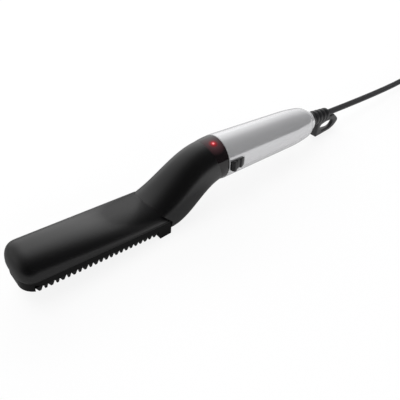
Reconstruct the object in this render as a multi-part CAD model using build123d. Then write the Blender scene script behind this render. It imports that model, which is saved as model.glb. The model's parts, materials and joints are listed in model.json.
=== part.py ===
from build123d import *
import os
from math import atan, atan2, cos, degrees, hypot, pi, radians, sin, tan

# Beard straightener: a heated comb under a domed paddle, a cranked neck, a glossy indicator ring and a
# tapered metal handle with a thumb switch, a swivelling strain relief with a hanging loop, and a flat cord.
#
# Everything is drawn in the handle's frame, in millimetres: +X runs along the handle's axis from the comb
# to the cord, +Z points away from the comb's teeth, x = 0 is the handle sleeve's front edge and z = 0 the
# tips of the teeth. lay_down() then lays the finished pieces down as the object lies on a table: on the
# comb's heel and on the foot of the hanging loop, nose up, with the origin under the middle of the object.
# The cord lies on that table.

# Handle sleeve and its axis
axis_height = 33.5
sleeve_front_radius = 16.0
sleeve_rear_radius = 14.4
sleeve_length = 94.5
sleeve_nose_length = 23.5
sleeve_shoulder_length = 9.0
sleeve_shoulder_radius = 13.2
sleeve_end_radius = 9.4
sleeve_wall = 1.1
sleeve_rim_chamfer = 0.3
sleeve_nose_turn = (0.55, -1.0)
sleeve_taper_length = sleeve_length - sleeve_nose_length
sleeve_shoulder_x = sleeve_length - sleeve_shoulder_length

# Fits that many pieces share
fit_gap = 0.2
press_gap = 0.05
overlap = 0.5

# Indicator ring, a wedge between the sleeve's front edge and the neck
ring_width_top = 12.3
ring_width_bottom = 2.2
ring_rear_radius = sleeve_front_radius - 0.25
ring_bulge_radius = 53.0
ring_wall = 2.0
ring_edge = 0.35

# Lamp under the ring and its holder
led_turn = 15.5
led_setback = 6.3
led_radius = 1.5
led_length = 5.0
led_ring_gap = 0.3
led_flange_height = 0.8
led_flange_overhang = 0.4
holder_wall = 0.9
holder_floor = 1.1
holder_drop = 2.2

# Paddle cover
paddle_tip_x = -149.5
paddle_half_width = 17.0
crown_height = 22.2
rim_height = 9.6
paddle_corner_radius = 12.0
paddle_shoulder_radius = 11.0
cover_wall = 2.0
comb_rear_x = -48.5
crease_top_x = comb_rear_x - 13.5

# Neck, given by the top and bottom points of its sections, their half width and how square they are
neck_wall = 2.0
neck_lift = 0.6
neck_mid_top = (-27.7, 42.3)
neck_mid_bottom = (-15.2, 11.7)
neck_mid_half_width = sleeve_front_radius - 0.1
neck_mid_squareness = 2.13
neck_low_top = (-43.8, 30.8)
neck_low_bottom = (-29.6, 2.4)
neck_low_half_width = paddle_half_width + 0.2
neck_low_squareness = 2.3
neck_front_top = (crease_top_x - 5.0, 18.9)
neck_front_bottom = (comb_rear_x - 2.0, -0.7)
neck_front_half_width = paddle_half_width
neck_front_squareness = 2.6
neck_section_points = 24
round_squareness = 2.0
bulkhead_x = -17.0
bulkhead_thickness = 2.0
underside_depth = 13.2

# Comb frame
frame_half_width = 16.2
frame_bottom = 4.6
frame_wall = 2.2
frame_ledge = 1.4
frame_nose_inset = 1.2
nose_length = 7.3
nose_chamfer = 1.6
tongue_height = 1.8
tongue_rear_gap = 2.9
heel_length = 9.8
heel_drop = 1.0
heel_chamfer = 1.2
nose_rear_x = paddle_tip_x + nose_length
heel_front_x = comb_rear_x - heel_length
window_half_width = frame_half_width - frame_wall - frame_ledge

# Its two kinds of guard teeth, given by their width at the root and the share of it in front of the tip
tooth_count = 12
first_tooth_gap = 2.8
last_tooth_gap = 2.45
wide_tooth = (4.6, 0.68)
narrow_tooth = (2.0, 0.5)
tooth_lean = 1.8
tooth_depth = 3.4
tooth_sink = 0.6
tooth_tip_width = 1.2
tooth_tip_depth = 1.4
first_tooth_x = nose_rear_x + first_tooth_gap
tooth_pitch = (heel_front_x - last_tooth_gap - first_tooth_x) / (tooth_count - 1)

# Heater
plate_half_width = window_half_width - fit_gap
plate_bottom = 5.4
plate_thickness = 3.0
plate_end_gap = 1.0
plate_corner = 1.5
fin_inset = 1.4
fin_slant = 1.2
fin_thickness = 1.1
fin_tip_height = 1.2
heater_length = 52.0
heater_width = 12.0
heater_thickness = 2.2
heater_mid_x = (nose_rear_x + heel_front_x) / 2
film_margin = 2.0
film_side_margin = 1.0
film_thickness = 0.3
clamp_thickness = 0.8
clamp_rise = 2.4
clamp_width = 8.0
clamp_foot = 5.0
clamp_end_gap = 1.5
clamp_step = 1.0
clamp_bow = 14.0
stack_gap = 0.1
fuse_radius = 1.9
fuse_length = 11.0
fuse_lead_radius = 0.45
fuse_lead_length = 4.0
fuse_x = heel_front_x - 4.0
thermistor_radius = 1.1
thermistor_length = 4.0
thermistor_x = nose_rear_x + 1.9

# Screws
screw_radius = 1.1
screw_head_radius = 2.1
screw_head_height = 1.4
screw_clearance = 0.15
pilot_clearance = 0.03
drive_length = 2.6
drive_width = 0.7
drive_depth = 0.6
boss_radius = 2.9
head_screw_y = 8.0
nose_screw_x = nose_rear_x - 2.5
heel_screw_x = comb_rear_x - 4.5
nose_seat_sink = 1.0
heel_seat_sink = 2.0
head_screw_top = 17.0
pilot_spare = 0.5
neck_screw_y = 8.0
neck_screw_length = 12.0

# Handle core and board
core_radius = sleeve_rear_radius - sleeve_wall - 0.7
core_front_radius = ring_rear_radius - ring_wall - 2.55
core_wall = 1.6
core_rear_x = sleeve_length - 14.5
core_end_wall = 2.0
wire_hole_radius = 5.5
board_front_x = 3.0
board_rear_x = core_rear_x - 7.0
board_half_width = 9.4
board_thickness = 1.6
board_top_drop = 3.5
board_rib_width = 1.6
board_rib_places = (14.0, 36.0, board_rear_x - 4.0)
core_screw_length = 14.0
core_screw_places = (19.5, board_rear_x - 13.0)
core_screw_y = 8.4

# Switch and the thumb piece that moves it
switch_travel = 3.0
knob_front_x = 0.4
knob_length = 12.6
knob_rise = 4.4
knob_drop = 2.5
knob_gap = 0.35
knob_plate = 1.0
knob_tail = 0.4
knob_lip = 3.1
knob_lip_lean = 1.6
knob_lip_width = 3.4
knob_ridge = 0.7
knob_ridge_width = 1.0
knob_ridge_slope = 0.5
knob_ridge_pitch = 3.6
knob_ridge_count = 2
stem_length = 3.2
stem_half_height = 1.5
slot_gap = 0.3
slot_cover = 0.5
switch_body_depth = 7.0
switch_body_half_height = 3.4
switch_body_margin = 1.6
switch_inset = 0.4
lever_reach = 3.4
lever_overhang = 1.0
lever_gap = 0.2

# Wires from the board to the heater
lead_radius = 0.9
lead_bend = 6.0
lead_places = (0.0, 3.2)
lead_start_gap = 12.0
lead_start_rise = 6.0
lead_board_reach = 3.0
lead_board_rise = 1.2
lead_turns = ((-52.0, 17.0), (-24.0, axis_height - 4.5), (-8.0, axis_height - 0.8))

# Swivel's leaf springs and the parts on the board: length along the handle, width, height
spring_thickness = 0.3
spring_half_height = 1.4
spring_foot_length = 4.0
spring_foot_x = board_rear_x - 5.5
spring_touch_gap = 0.08
spring_side_gap = 1.0
spring_tip_margin = 0.4
resistor_radius = 2.0
resistor_length = 9.0
resistor_lead_length = 2.0
resistor_lead_radius = 0.4
resistor_x = spring_foot_x - resistor_length - 5.5
triac_size = (4.5, 10.0, 9.0)
triac_tab_thickness = 1.3
triac_tab_height = 3.5
triac_x = resistor_x - 9.0
capacitor_size = (13.0, 6.0, 9.5)
capacitor_corner = 0.6
capacitor_x = triac_x - 18.0

# Swivel at the handle's rear end
collar_length = 4.9
collar_radius = sleeve_end_radius - 0.4
collar_rear_radius = collar_radius - 1.0
collar_edge = 0.6
collar_lip_width = 1.8
collar_rear_x = sleeve_length + collar_length
spigot_radius = sleeve_end_radius - sleeve_wall - 0.1
core_tail_radius = spigot_radius - fit_gap
spigot_length = 4.5
spigot_front_x = sleeve_length - spigot_length
bush_radius = spigot_radius - 0.7
bush_wall = 0.65
swivel_gap = 0.25
flange_radius = bush_radius - bush_wall - swivel_gap
flange_front_x = sleeve_length - 2.1
flange_width = 2.0
relief_neck_radius = flange_radius - 1.1
collar_lip_radius = relief_neck_radius + 0.4
rotor_front_x = sleeve_length - 4.1
rotor_hub_radius = 3.2
rotor_nose = 1.2
rotor_cone = 0.4
contact_ring_radius = 4.0
contact_ring_width = 2.4
contact_ring_setback = 0.6
contact_pin_radius = 1.1
contact_pin_tip_x = sleeve_length - 10.3

# Strain relief
relief_length = 22.8
relief_front_x = collar_rear_x + 0.4
relief_end_x = relief_front_x + relief_length
relief_front_radius = 6.4
relief_end_radius = 4.9
relief_end_chamfer = 0.6
relief_first_groove = 3.6
relief_groove_pitch = 4.6
relief_rib_count = 4
relief_groove_depth = 1.3
relief_groove_width = 2.2
relief_groove_slope = 0.35

# Hanging loop under it: thick in front and thin round its eye, drawn from the loop's lower front corner
loop_front_half_thickness = 3.6
loop_half_thickness = 1.7
loop_front_x = relief_front_x + 10.8
loop_bottom = 16.0
loop_foot_x = relief_end_x + 8.9
loop_foot_depth = 0.4
loop_rear_x = loop_foot_x + 9.0
loop_rear_height = 24.6
loop_top_reach = 2.0
loop_top_clearance = 0.3
loop_foot_turn = (1.0, 0.1)
loop_top_turn = (-1.0, 1.0)
eye_low_points = ((3.8, 6.8), (7.8, 3.7), (13.9, 3.2), (18.7, 3.6))
eye_rear_points = ((21.4, 5.5), (22.8, 7.7))
eye_high_points = ((20.4, 9.6), (9.3, 10.5), (5.8, 9.5))
eye_corner = 1.0

# Flat mains cord, its stored length and its plug
cord_width = 5.0
cord_gap = 0.5
cord_bend_x = 263.0
hank_lead_in = 30.0
hank_start_x = 331.0
hank_run = 86.0
hank_mid_y = 1.5
hank_runs = 10
runs_per_layer = 3
hank_fold_radius = 15.0
hank_waist = 5.0
tie_thickness = 1.0
tie_width = 12.0
tie_gap = 0.35
over_fold_lead = 6.0
over_fold_radius = 15.0
plug_relief_length = 18.0
plug_relief_radius = 3.4
plug_relief_flare = 1.4
plug_groove_count = 4
plug_first_groove = 3.5
plug_groove_pitch = 3.6
plug_groove_width = 1.4
plug_groove_depth = 0.8
plug_body_length = 36.0
plug_body_width = 34.0
plug_neck_width = 13.0
plug_shoulder_share = 0.45
plug_shoulder_width_share = 0.78
plug_front_straight = 8.0
plug_thickness = 13.4
plug_edge_radius = 3.0
plug_pin_radius = 2.0
plug_pin_length = 19.0
plug_pin_spacing = 19.0

# Resting attitude: the line from the comb's heel to the foot of the loop lies on the table
loop_foot_height = loop_bottom + loop_foot_depth
rest_tilt = degrees(atan2(loop_foot_height + heel_drop, loop_foot_x - comb_rear_x))

# Longer than the object
BIG = 400.0
HANDLE_AXIS = Axis((0, 0, axis_height), (1, 0, 0))
ACROSS = Plane(origin=(0, 0, 0), x_dir=(1, 0, 0), z_dir=(0, -1, 0))

os.makedirs("parts", exist_ok=True)


# Shared shapes


def export(name, solids):
    """Writes one node, of one solid or of several alike, to its own file."""
    shape = solids[0] if len(solids) == 1 else Compound(children=list(solids))
    export_step(shape, f"parts/{name}.step")


def block(x0, x1, y0, y1, z0, z1):
    """A box between two corners."""
    return Pos((x0 + x1) / 2, (y0 + y1) / 2, (z0 + z1) / 2) * Box(x1 - x0, y1 - y0, z1 - z0)


def level_face(x0, x1, y0, y1, z):
    """A level rectangle between two corners."""
    return Pos((x0 + x1) / 2, (y0 + y1) / 2, z) * Rectangle(x1 - x0, y1 - y0)


def side_prism(points, half_depth):
    """A prism across the object, from its outline in the X-Z plane."""
    outline = ACROSS * make_face(Polyline(*points, close=True))
    return extrude(outline, amount=half_depth, both=True)


def turned(*points):
    """A solid turned about the handle's axis, from its outline as (x, radius) points."""
    face = ACROSS * make_face(Polyline(*points, close=True))
    return revolve(Pos(0, 0, axis_height) * face, HANDLE_AXIS)


def rod(x0, x1, y, z, radius):
    """A round bar along X."""
    return Pos((x0 + x1) / 2, y, z) * Rot(0, 90, 0) * Cylinder(radius, x1 - x0)


def post(x, y, z0, z1, radius):
    """A round bar along Z."""
    return Pos(x, y, (z0 + z1) / 2) * Cylinder(radius, z1 - z0)


def wire(radius, bend, *points):
    """A bare or insulated wire along straight runs with rounded corners."""
    path = FilletPolyline(*points, radius=bend)
    return sweep(Plane(origin=path @ 0, z_dir=path % 0) * Circle(radius), path=path)


def mirrored(piece):
    """The piece and its twin on the other side of the object's middle plane."""
    return [piece, mirror(piece, about=Plane.XZ)]


def screw(length):
    """A screw with a cross recess: it points along +Z and its head's seat is at z = 0."""
    piece = post(0, 0, -screw_head_height, 0, screw_head_radius) + post(0, 0, 0, length, screw_radius)
    slot = Pos(0, 0, -screw_head_height) * Box(drive_length, drive_width, 2 * drive_depth)
    return piece - slot - Rot(0, 0, 90) * slot


def floor_block(lift=0):
    """Everything below the table, or below a level a little above it, in the handle's frame."""
    table = Pos(comb_rear_x, 0, -heel_drop) * Rot(0, -rest_tilt, 0)
    return table * Pos(0, 0, lift - BIG / 2) * Box(2 * BIG, BIG, BIG)


# Zones of the head


def head_zone():
    """The space of the paddle and comb, up to the slanted parting line of the neck."""
    slope = (crease_top_x - comb_rear_x) / (crown_height - rim_height)
    low, high = -BIG / 4, BIG / 4
    points = [
        (comb_rear_x, low),
        (comb_rear_x, rim_height),
        (comb_rear_x + slope * (high - rim_height), high),
        (-BIG, high),
        (-BIG, low),
    ]
    return side_prism(points, BIG)


def dome(inset):
    """The paddle's domed block, or its hollow when inset by the wall."""
    x0, x1 = paddle_tip_x + inset, comb_rear_x + paddle_half_width
    half, top = paddle_half_width - inset, crown_height - inset
    body = block(x0, x1, -half, half, rim_height, top)
    corners = body.edges().filter_by(Axis.Z).group_by(Axis.X)[0]
    body = fillet(corners, paddle_corner_radius - inset)
    rim = body.faces().sort_by(Axis.Z)[-1].edges()
    rounded = [edge for edge in rim if edge.center().X < x1 - fit_gap]
    return fillet(rounded, paddle_shoulder_radius - inset)


def neck_section(top, bottom, half_width, squareness, inset):
    """One rounded section of the neck, between a top and a bottom point in the X-Z plane."""
    rise, run = top[1] - bottom[1], top[0] - bottom[0]
    half_height = hypot(rise, run) / 2 - inset
    half_width -= inset
    up = Vector(run, 0, rise).normalized()
    plane = Plane(
        origin=((top[0] + bottom[0]) / 2, 0, (top[1] + bottom[1]) / 2),
        x_dir=(0, 1, 0),
        z_dir=Vector(0, 1, 0).cross(up),
    )
    count, power = neck_section_points, 2 / squareness
    points = []
    for k in range(count):
        c, s = cos(2 * pi * k / count), sin(2 * pi * k / count)
        across = half_width * abs(c) ** power * (1 if c >= 0 else -1)
        along = half_height * abs(s) ** power * (1 if s >= 0 else -1)
        points.append((across, along))
    return plane * make_face(Spline(*points, periodic=True))


def neck_body(inset):
    """The neck's rounded crank, or its hollow when inset by the wall."""
    ring_top, ring_bottom = ring_seam()
    seam_half_width = ring_radius((ring_width_top + ring_width_bottom) / 2)
    stations = [
        (ring_top, ring_bottom, seam_half_width, round_squareness),
        (neck_mid_top, neck_mid_bottom, neck_mid_half_width, neck_mid_squareness),
        (neck_low_top, neck_low_bottom, neck_low_half_width, neck_low_squareness),
        (neck_front_top, neck_front_bottom, neck_front_half_width, neck_front_squareness),
    ]
    return loft([neck_section(*station, inset) for station in stations])


def underside_zone():
    """The space below the line on which the neck's underside comes off."""
    low = Vector(neck_low_top[0] + neck_low_bottom[0], 0, neck_low_top[1] + neck_low_bottom[1]) / 2
    mid = Vector(neck_mid_top[0] + neck_mid_bottom[0], 0, neck_mid_top[1] + neck_mid_bottom[1]) / 2
    along = (mid - low).normalized()
    down = Vector(along.Z, 0, -along.X)
    start = low + down * underside_depth
    a, b = start - along * BIG, start + along * BIG
    c, d = b + down * BIG, a + down * BIG
    return side_prism([(p.X, p.Z) for p in (a, b, c, d)], BIG)


# Fastenings of the head


def head_screw_holes():
    """Clearance holes of the four head screws through the comb frame."""
    low, high, radius = -rim_height, rim_height + 2 * tongue_height, screw_radius + screw_clearance
    holes = []
    for x in (nose_screw_x, heel_screw_x):
        holes += mirrored(post(x, head_screw_y, low, high, radius))
    return holes


def screw_seat_height(x):
    """Height of a head screw's seat in the frame's end blocks."""
    return frame_bottom - (nose_seat_sink if x == nose_screw_x else heel_seat_sink)


def head_screws():
    """Four screws that draw the comb frame up against the cover and the neck."""
    screws = []
    for x in (nose_screw_x, heel_screw_x):
        seat = screw_seat_height(x)
        screws += mirrored(Pos(x, head_screw_y, seat) * screw(head_screw_top - seat))
    return screws


# Paddle and comb


def screw_bosses(x, body):
    """Two bosses that come down inside a body onto the comb frame's tongue, and their pilot holes."""
    start = rim_height + tongue_height
    bosses = mirrored(post(x, head_screw_y, start, BIG / 8, boss_radius))
    pilots = mirrored(post(x, head_screw_y, 0, head_screw_top + pilot_spare, screw_radius + pilot_clearance))
    return [boss & body for boss in bosses], pilots


def head_cover():
    """Domed paddle shell, with two bosses behind its nose for the front head screws."""
    shell = (dome(0) - dome(cover_wall)) & head_zone()
    bosses, pilots = screw_bosses(nose_screw_x, dome(cover_wall / 2))
    return shell + bosses[0] + bosses[1] - pilots[0] - pilots[1]


def tooth(x, width, front_share):
    """One guard tooth, leaning in to its tip, with a share of its root's width in front of the tip."""
    root, tip = frame_half_width, frame_half_width - tooth_lean
    front = x - width * front_share
    upper = level_face(front, front + width, -root, -root + tooth_depth, frame_bottom + tooth_sink)
    half = tooth_tip_width / 2
    return loft([upper, level_face(x - half, x + half, -tip, -tip + tooth_tip_depth, 0)])


def frame_slab(z0, z1):
    """A slab of the comb frame's outline, rounded at the nose."""
    slab = block(paddle_tip_x + frame_nose_inset, comb_rear_x, -frame_half_width, frame_half_width, z0, z1)
    corners = slab.edges().filter_by(Axis.Z).group_by(Axis.X)[0]
    return fillet(corners, paddle_corner_radius - frame_nose_inset)


def tongue_slab():
    """The frame's upper tongue, which fits inside the cover's wall."""
    inset = cover_wall + fit_gap
    half = paddle_half_width - inset
    z0, z1 = rim_height - overlap, rim_height + tongue_height
    slab = block(paddle_tip_x + inset, comb_rear_x - tongue_rear_gap, -half, half, z0, z1)
    return fillet(slab.edges().filter_by(Axis.Z).group_by(Axis.X)[0], paddle_corner_radius - inset)


def nose_block():
    """The closed block behind the nose, with a chamfered lower edge."""
    slab = frame_slab(0, frame_bottom + overlap)
    bottom = slab.faces().sort_by(Axis.Z)[0].edges()
    slab = chamfer([edge for edge in bottom if edge.center().X < comb_rear_x - fit_gap], nose_chamfer)
    return slab & block(-BIG, nose_rear_x, -BIG, BIG, 0, frame_bottom + overlap)


def heel_block():
    """The heel on which the head rests, with a chamfered front."""
    low = -heel_drop - heel_length * tan(radians(rest_tilt))
    points = [
        (heel_front_x, frame_bottom + overlap),
        (heel_front_x, low + 2 * heel_chamfer),
        (heel_front_x + heel_chamfer, low),
        (comb_rear_x, low),
        (comb_rear_x, frame_bottom + overlap),
    ]
    return side_prism(points, frame_half_width)


def comb_frame():
    """Frame under the cover: side walls, two rows of guard teeth, a rounded nose and a heel to rest on."""
    half = window_half_width
    window = block(nose_rear_x, heel_front_x, -half, half, -rim_height, 2 * rim_height)
    frame = frame_slab(frame_bottom, rim_height) + tongue_slab() - window + nose_block() + heel_block()
    for i in range(tooth_count):
        frame += mirrored(tooth(first_tooth_x + i * tooth_pitch, *wide_tooth))
    for i in range(tooth_count - 1):
        frame += mirrored(tooth(first_tooth_x + (i + 0.5) * tooth_pitch, *narrow_tooth))
    frame -= floor_block()
    for hole in head_screw_holes():
        frame -= hole
    for x in (nose_screw_x, heel_screw_x):
        seat_radius = screw_head_radius + screw_clearance
        for seat in mirrored(post(x, head_screw_y, -rim_height, screw_seat_height(x), seat_radius)):
            frame -= seat
    return frame


def heating_plate():
    """Heated metal comb: a plate with a row of cross fins that stand between the guard teeth."""
    x0, x1 = nose_rear_x + plate_end_gap, heel_front_x - plate_end_gap
    plate = block(x0, x1, -plate_half_width, plate_half_width, plate_bottom, plate_bottom + plate_thickness)
    plate = chamfer(plate.edges().filter_by(Axis.Z), plate_corner)
    half, root = plate_half_width - fin_inset, plate_bottom + overlap
    tip_half = half - fin_slant
    points = [(-half, root), (-tip_half, fin_tip_height), (tip_half, fin_tip_height), (half, root)]
    outline = make_face(Polyline(*points, close=True))
    for i in range(2 * tooth_count - 1):
        section = Plane(origin=(first_tooth_x + i * tooth_pitch / 2, 0, 0), x_dir=(0, 1, 0), z_dir=(1, 0, 0))
        plate += extrude(section * outline, amount=fin_thickness / 2, both=True)
    return plate


def heater_stack():
    """Ceramic heater, its insulating film and the sprung clamp that presses them on the plate, from below."""
    foot_z = plate_bottom + plate_thickness
    z0 = foot_z + stack_gap
    z1 = z0 + heater_thickness
    z2 = z1 + stack_gap
    z3 = z2 + film_thickness + stack_gap
    half_length, half_width = heater_length / 2, heater_width / 2
    mid = heater_mid_x
    heater = block(mid - half_length, mid + half_length, -half_width, half_width, z0, z1)
    film_half, film_side = half_length + film_margin, half_width + film_side_margin
    film = block(mid - film_half, mid + film_half, -film_side, film_side, z2, z2 + film_thickness)
    reach = film_half + clamp_end_gap
    half_clamp = [
        (reach + clamp_foot, foot_z),
        (reach, foot_z),
        (reach - clamp_step, z3),
        (reach - clamp_bow, z3 + clamp_rise),
    ]
    front = [(mid - x, z) for x, z in half_clamp]
    rear = [(mid + x, z) for x, z in reversed(half_clamp)]
    under = [*front, (mid, z3), *rear]
    over = [(x, z + clamp_thickness) for x, z in reversed(under)]
    return heater, film, side_prism(under + over, clamp_width / 2)


def thermal_fuse():
    """Axial thermal fuse lying across the heating plate's rear, with its two leads."""
    lie = Pos(fuse_x, 0, plate_bottom + plate_thickness + fuse_radius + stack_gap) * Rot(90, 0, 0)
    leads = lie * Cylinder(fuse_lead_radius, fuse_length + 2 * fuse_lead_length)
    return lie * Cylinder(fuse_radius, fuse_length) + leads


def thermistor():
    """Glass-bead temperature sensor on the heating plate near its nose."""
    z = plate_bottom + plate_thickness + thermistor_radius + stack_gap
    bead = rod(thermistor_x, thermistor_x + thermistor_length, 0, z, thermistor_radius)
    for end in bead.edges().filter_by(GeomType.CIRCLE):
        bead = fillet(end, thermistor_radius * 2 / 3)
    return bead


# Neck


def neck_pieces():
    """The neck's shell, with its bulkhead and two screw bosses, and the cover of its underside."""
    outer = neck_body(0) - head_zone() - floor_block(neck_lift)
    hollow = neck_body(neck_wall) - floor_block(neck_lift + neck_wall)
    x0, x1 = bulkhead_x, bulkhead_x + bulkhead_thickness
    bulkhead = block(x0, x1, -BIG, BIG, -BIG, BIG) & neck_body(neck_wall / 2)
    bulkhead -= rod(x0 - overlap, x1 + overlap, 0, axis_height, wire_hole_radius)
    for y in (-neck_screw_y, neck_screw_y):
        bulkhead -= rod(x0 - overlap, x1 + overlap, y, axis_height, screw_radius + screw_clearance)
    bosses, pilots = screw_bosses(heel_screw_x, neck_body(neck_wall / 2))
    shell = outer - hollow + bulkhead + bosses[0] + bosses[1] - pilots[0] - pilots[1]
    below = underside_zone()
    return shell - below, shell & below


def neck_screws():
    """Two screws that hold the neck's bulkhead to the handle core."""
    return mirrored(Pos(bulkhead_x, neck_screw_y, axis_height) * Rot(0, 90, 0) * screw(neck_screw_length))


# Indicator ring and lamp


def ring_radius(x, inset=0):
    """The ring's outer radius, or that of its hollow: both round off towards the neck along an arc."""
    return ring_rear_radius - ring_bulge_radius + ((ring_bulge_radius - inset) ** 2 - x**2) ** 0.5


def indicator_ring():
    """Smoked light ring, wider at the top, cut on the slant where the neck meets it."""
    far = -ring_width_top - ring_wall
    outer_far, outer_near = (far, ring_radius(far)), (-ring_edge, ring_radius(ring_edge))
    inner_far, inner_near = (far, ring_radius(far, ring_wall)), (0, ring_radius(0, ring_wall))
    outline = make_face(
        RadiusArc(outer_far, outer_near, ring_bulge_radius)
        + Polyline(outer_near, (0, ring_rear_radius - ring_edge), inner_near)
        + RadiusArc(inner_near, inner_far, -(ring_bulge_radius - ring_wall))
        + Line(inner_far, outer_far)
    )
    tube = revolve(Pos(0, 0, axis_height) * (ACROSS * outline), HANDLE_AXIS)
    (top_x, top_z), (bottom_x, bottom_z) = ring_seam()
    slope = (top_x - bottom_x) / (top_z - bottom_z)
    low, high = axis_height - BIG / 10, axis_height + BIG / 10
    front = [
        (bottom_x + slope * (low - bottom_z), low),
        (bottom_x + slope * (high - bottom_z), high),
        (-BIG, high),
        (-BIG, low),
    ]
    return tube - side_prism(front, BIG / 10)


def ring_seam():
    """Top and bottom points of the slanted seam between the ring and the neck."""
    top = (-ring_width_top, axis_height + ring_radius(ring_width_top))
    bottom = (-ring_width_bottom, axis_height - ring_radius(ring_width_bottom))
    return top, bottom


def led_frame(piece):
    """Places a piece drawn along +Z from the handle's axis at the lamp's place under the ring."""
    return Pos(-led_setback, 0, axis_height) * Rot(led_turn, 0, 0) * piece


def led_tip():
    """How far the lamp's tip is from the handle's axis."""
    return ring_radius(led_setback, ring_wall) - led_ring_gap


def indicator_lamp():
    """Round-nosed lamp under the ring."""
    tip = led_tip()
    base = tip - led_length
    bulb = post(0, 0, base, tip - led_radius, led_radius) + Pos(0, 0, tip - led_radius) * Sphere(led_radius)
    bulb += post(0, 0, base, base + led_flange_height, led_radius + led_flange_overhang)
    return led_frame(bulb)


def holder_radius():
    """Outer radius of the collar that holds the lamp."""
    return led_radius + led_flange_overhang + stack_gap + holder_wall


def lamp_holder():
    """Collar round the lamp, seated in the top of the handle core."""
    tip = led_tip()
    floor = tip - led_length - stack_gap
    ring = post(0, 0, floor - holder_floor, tip - holder_drop, holder_radius())
    ring -= post(0, 0, floor, tip, holder_radius() - holder_wall)
    return led_frame(ring)


# Handle


def stem_front():
    """Where the switch knob's stem starts, so that the knob covers its slot over the whole travel."""
    return knob_front_x + switch_travel + slot_cover + slot_gap


def switch_slot():
    """The slot in which the knob's stem slides, through the sleeve's side and the core's."""
    x0 = stem_front() - slot_gap
    x1 = stem_front() + stem_length + switch_travel + slot_gap
    half = stem_half_height + slot_gap
    return block(x0, x1, -BIG / 4, 0, axis_height - half, axis_height + half)


def handle_sleeve():
    """Tapered metal sleeve with a rounded rear shoulder and the switch's slot."""
    lean = (sleeve_front_radius - sleeve_rear_radius) / sleeve_taper_length

    def outline(inset):
        start = (0, sleeve_front_radius - inset)
        bend = (sleeve_taper_length, sleeve_rear_radius - inset)
        shoulder = (sleeve_shoulder_x, sleeve_shoulder_radius - inset)
        end = (sleeve_length, sleeve_end_radius - inset)
        nose = Spline(bend, shoulder, end, tangents=[(1, -lean), sleeve_nose_turn])
        return make_face(Line(start, bend) + nose + Polyline(end, (sleeve_length, 0), (0, 0), start))

    sleeve = revolve(Pos(0, 0, axis_height) * (ACROSS * outline(0)), HANDLE_AXIS)
    sleeve -= revolve(Pos(0, 0, axis_height) * (ACROSS * outline(sleeve_wall)), HANDLE_AXIS)
    front_rim = sleeve.edges().filter_by(GeomType.CIRCLE).group_by(Axis.X)[0].sort_by(SortBy.RADIUS)[-1]
    sleeve = chamfer(front_rim, sleeve_rim_chamfer)
    return sleeve - switch_slot()


def core_halves():
    """Plastic core in two halves that carries the board, closed in front and with a narrow tail."""
    core_front_x = bulkhead_x + bulkhead_thickness
    tube = turned(
        (core_front_x, wire_hole_radius),
        (core_front_x, core_front_radius),
        (0, core_front_radius),
        (0, core_radius),
        (core_rear_x, core_radius),
        (core_rear_x, core_tail_radius),
        (spigot_front_x, core_tail_radius),
        (spigot_front_x, wire_hole_radius),
        (core_rear_x - core_end_wall, wire_hole_radius),
        (core_rear_x - core_end_wall, core_radius - core_wall),
        (core_wall, core_radius - core_wall),
        (core_wall, core_front_radius - core_wall),
        (core_front_x + core_end_wall, core_front_radius - core_wall),
        (core_front_x + core_end_wall, wire_hole_radius),
    )
    tube += screw_bosses_of_core()
    screw_end = bulkhead_x + neck_screw_length
    boss_end = screw_end + 2 * overlap
    boss_space = rod(core_front_x, boss_end, 0, axis_height, core_front_radius - core_wall / 2)
    for y in (-neck_screw_y, neck_screw_y):
        tube += rod(core_front_x, boss_end, y, axis_height, boss_radius) & boss_space
        pilot_radius = screw_radius + pilot_clearance
        tube -= rod(core_front_x - overlap, screw_end + overlap, y, axis_height, pilot_radius)
    tube -= switch_slot()
    tube -= led_frame(post(0, 0, boss_radius, 2 * core_radius, holder_radius() + fit_gap))
    seat = core_screw_seat()
    for x in core_screw_places:
        tube -= post(x, core_screw_y, 0, seat, screw_head_radius + screw_clearance)
        tube -= post(x, core_screw_y, seat, axis_height, screw_radius + screw_clearance)
        tube -= post(x, core_screw_y, axis_height, seat + core_screw_length, screw_radius + pilot_clearance)
    lower = tube & block(-BIG, BIG, -BIG, BIG, -BIG, axis_height)
    upper = tube & block(-BIG, BIG, -BIG, BIG, axis_height, BIG)
    board_bottom = axis_height - board_top_drop - board_thickness
    rib_radius = core_radius - core_wall / 2
    for x in board_rib_places:
        disc = turned((x, 0), (x, rib_radius), (x + board_rib_width, rib_radius), (x + board_rib_width, 0))
        lower += disc & block(-BIG, BIG, -BIG, BIG, 0, board_bottom)
    return lower, upper


def screw_bosses_of_core():
    """Bosses for the screws that close the core, along its +Y side."""
    reach = core_screw_length / 2 + screw_radius
    bosses = Part()
    for x in core_screw_places:
        boss = post(x, core_screw_y, axis_height - reach, axis_height + reach, boss_radius)
        bosses += boss & rod(x - boss_radius, x + boss_radius, 0, axis_height, core_radius - core_wall / 2)
    return bosses


def core_screws():
    """Screws that close the core's halves, put in from below."""
    length = core_screw_length - screw_head_height
    return [Pos(x, core_screw_y, core_screw_seat()) * screw(length) for x in core_screw_places]


def core_screw_seat():
    """Height of the seats under the heads of the core's screws."""
    return axis_height - core_screw_length / 2 + screw_head_height


def control_board():
    """Circuit board along the handle core, notched round the core's screw bosses."""
    top, half_width = axis_height - board_top_drop, board_half_width
    board = block(board_front_x, board_rear_x, -half_width, half_width, top - board_thickness, top)
    notch = boss_radius + fit_gap
    for x in core_screw_places:
        board -= block(x - notch, x + notch, core_screw_y - notch, BIG, 0, axis_height)
    return board


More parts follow.
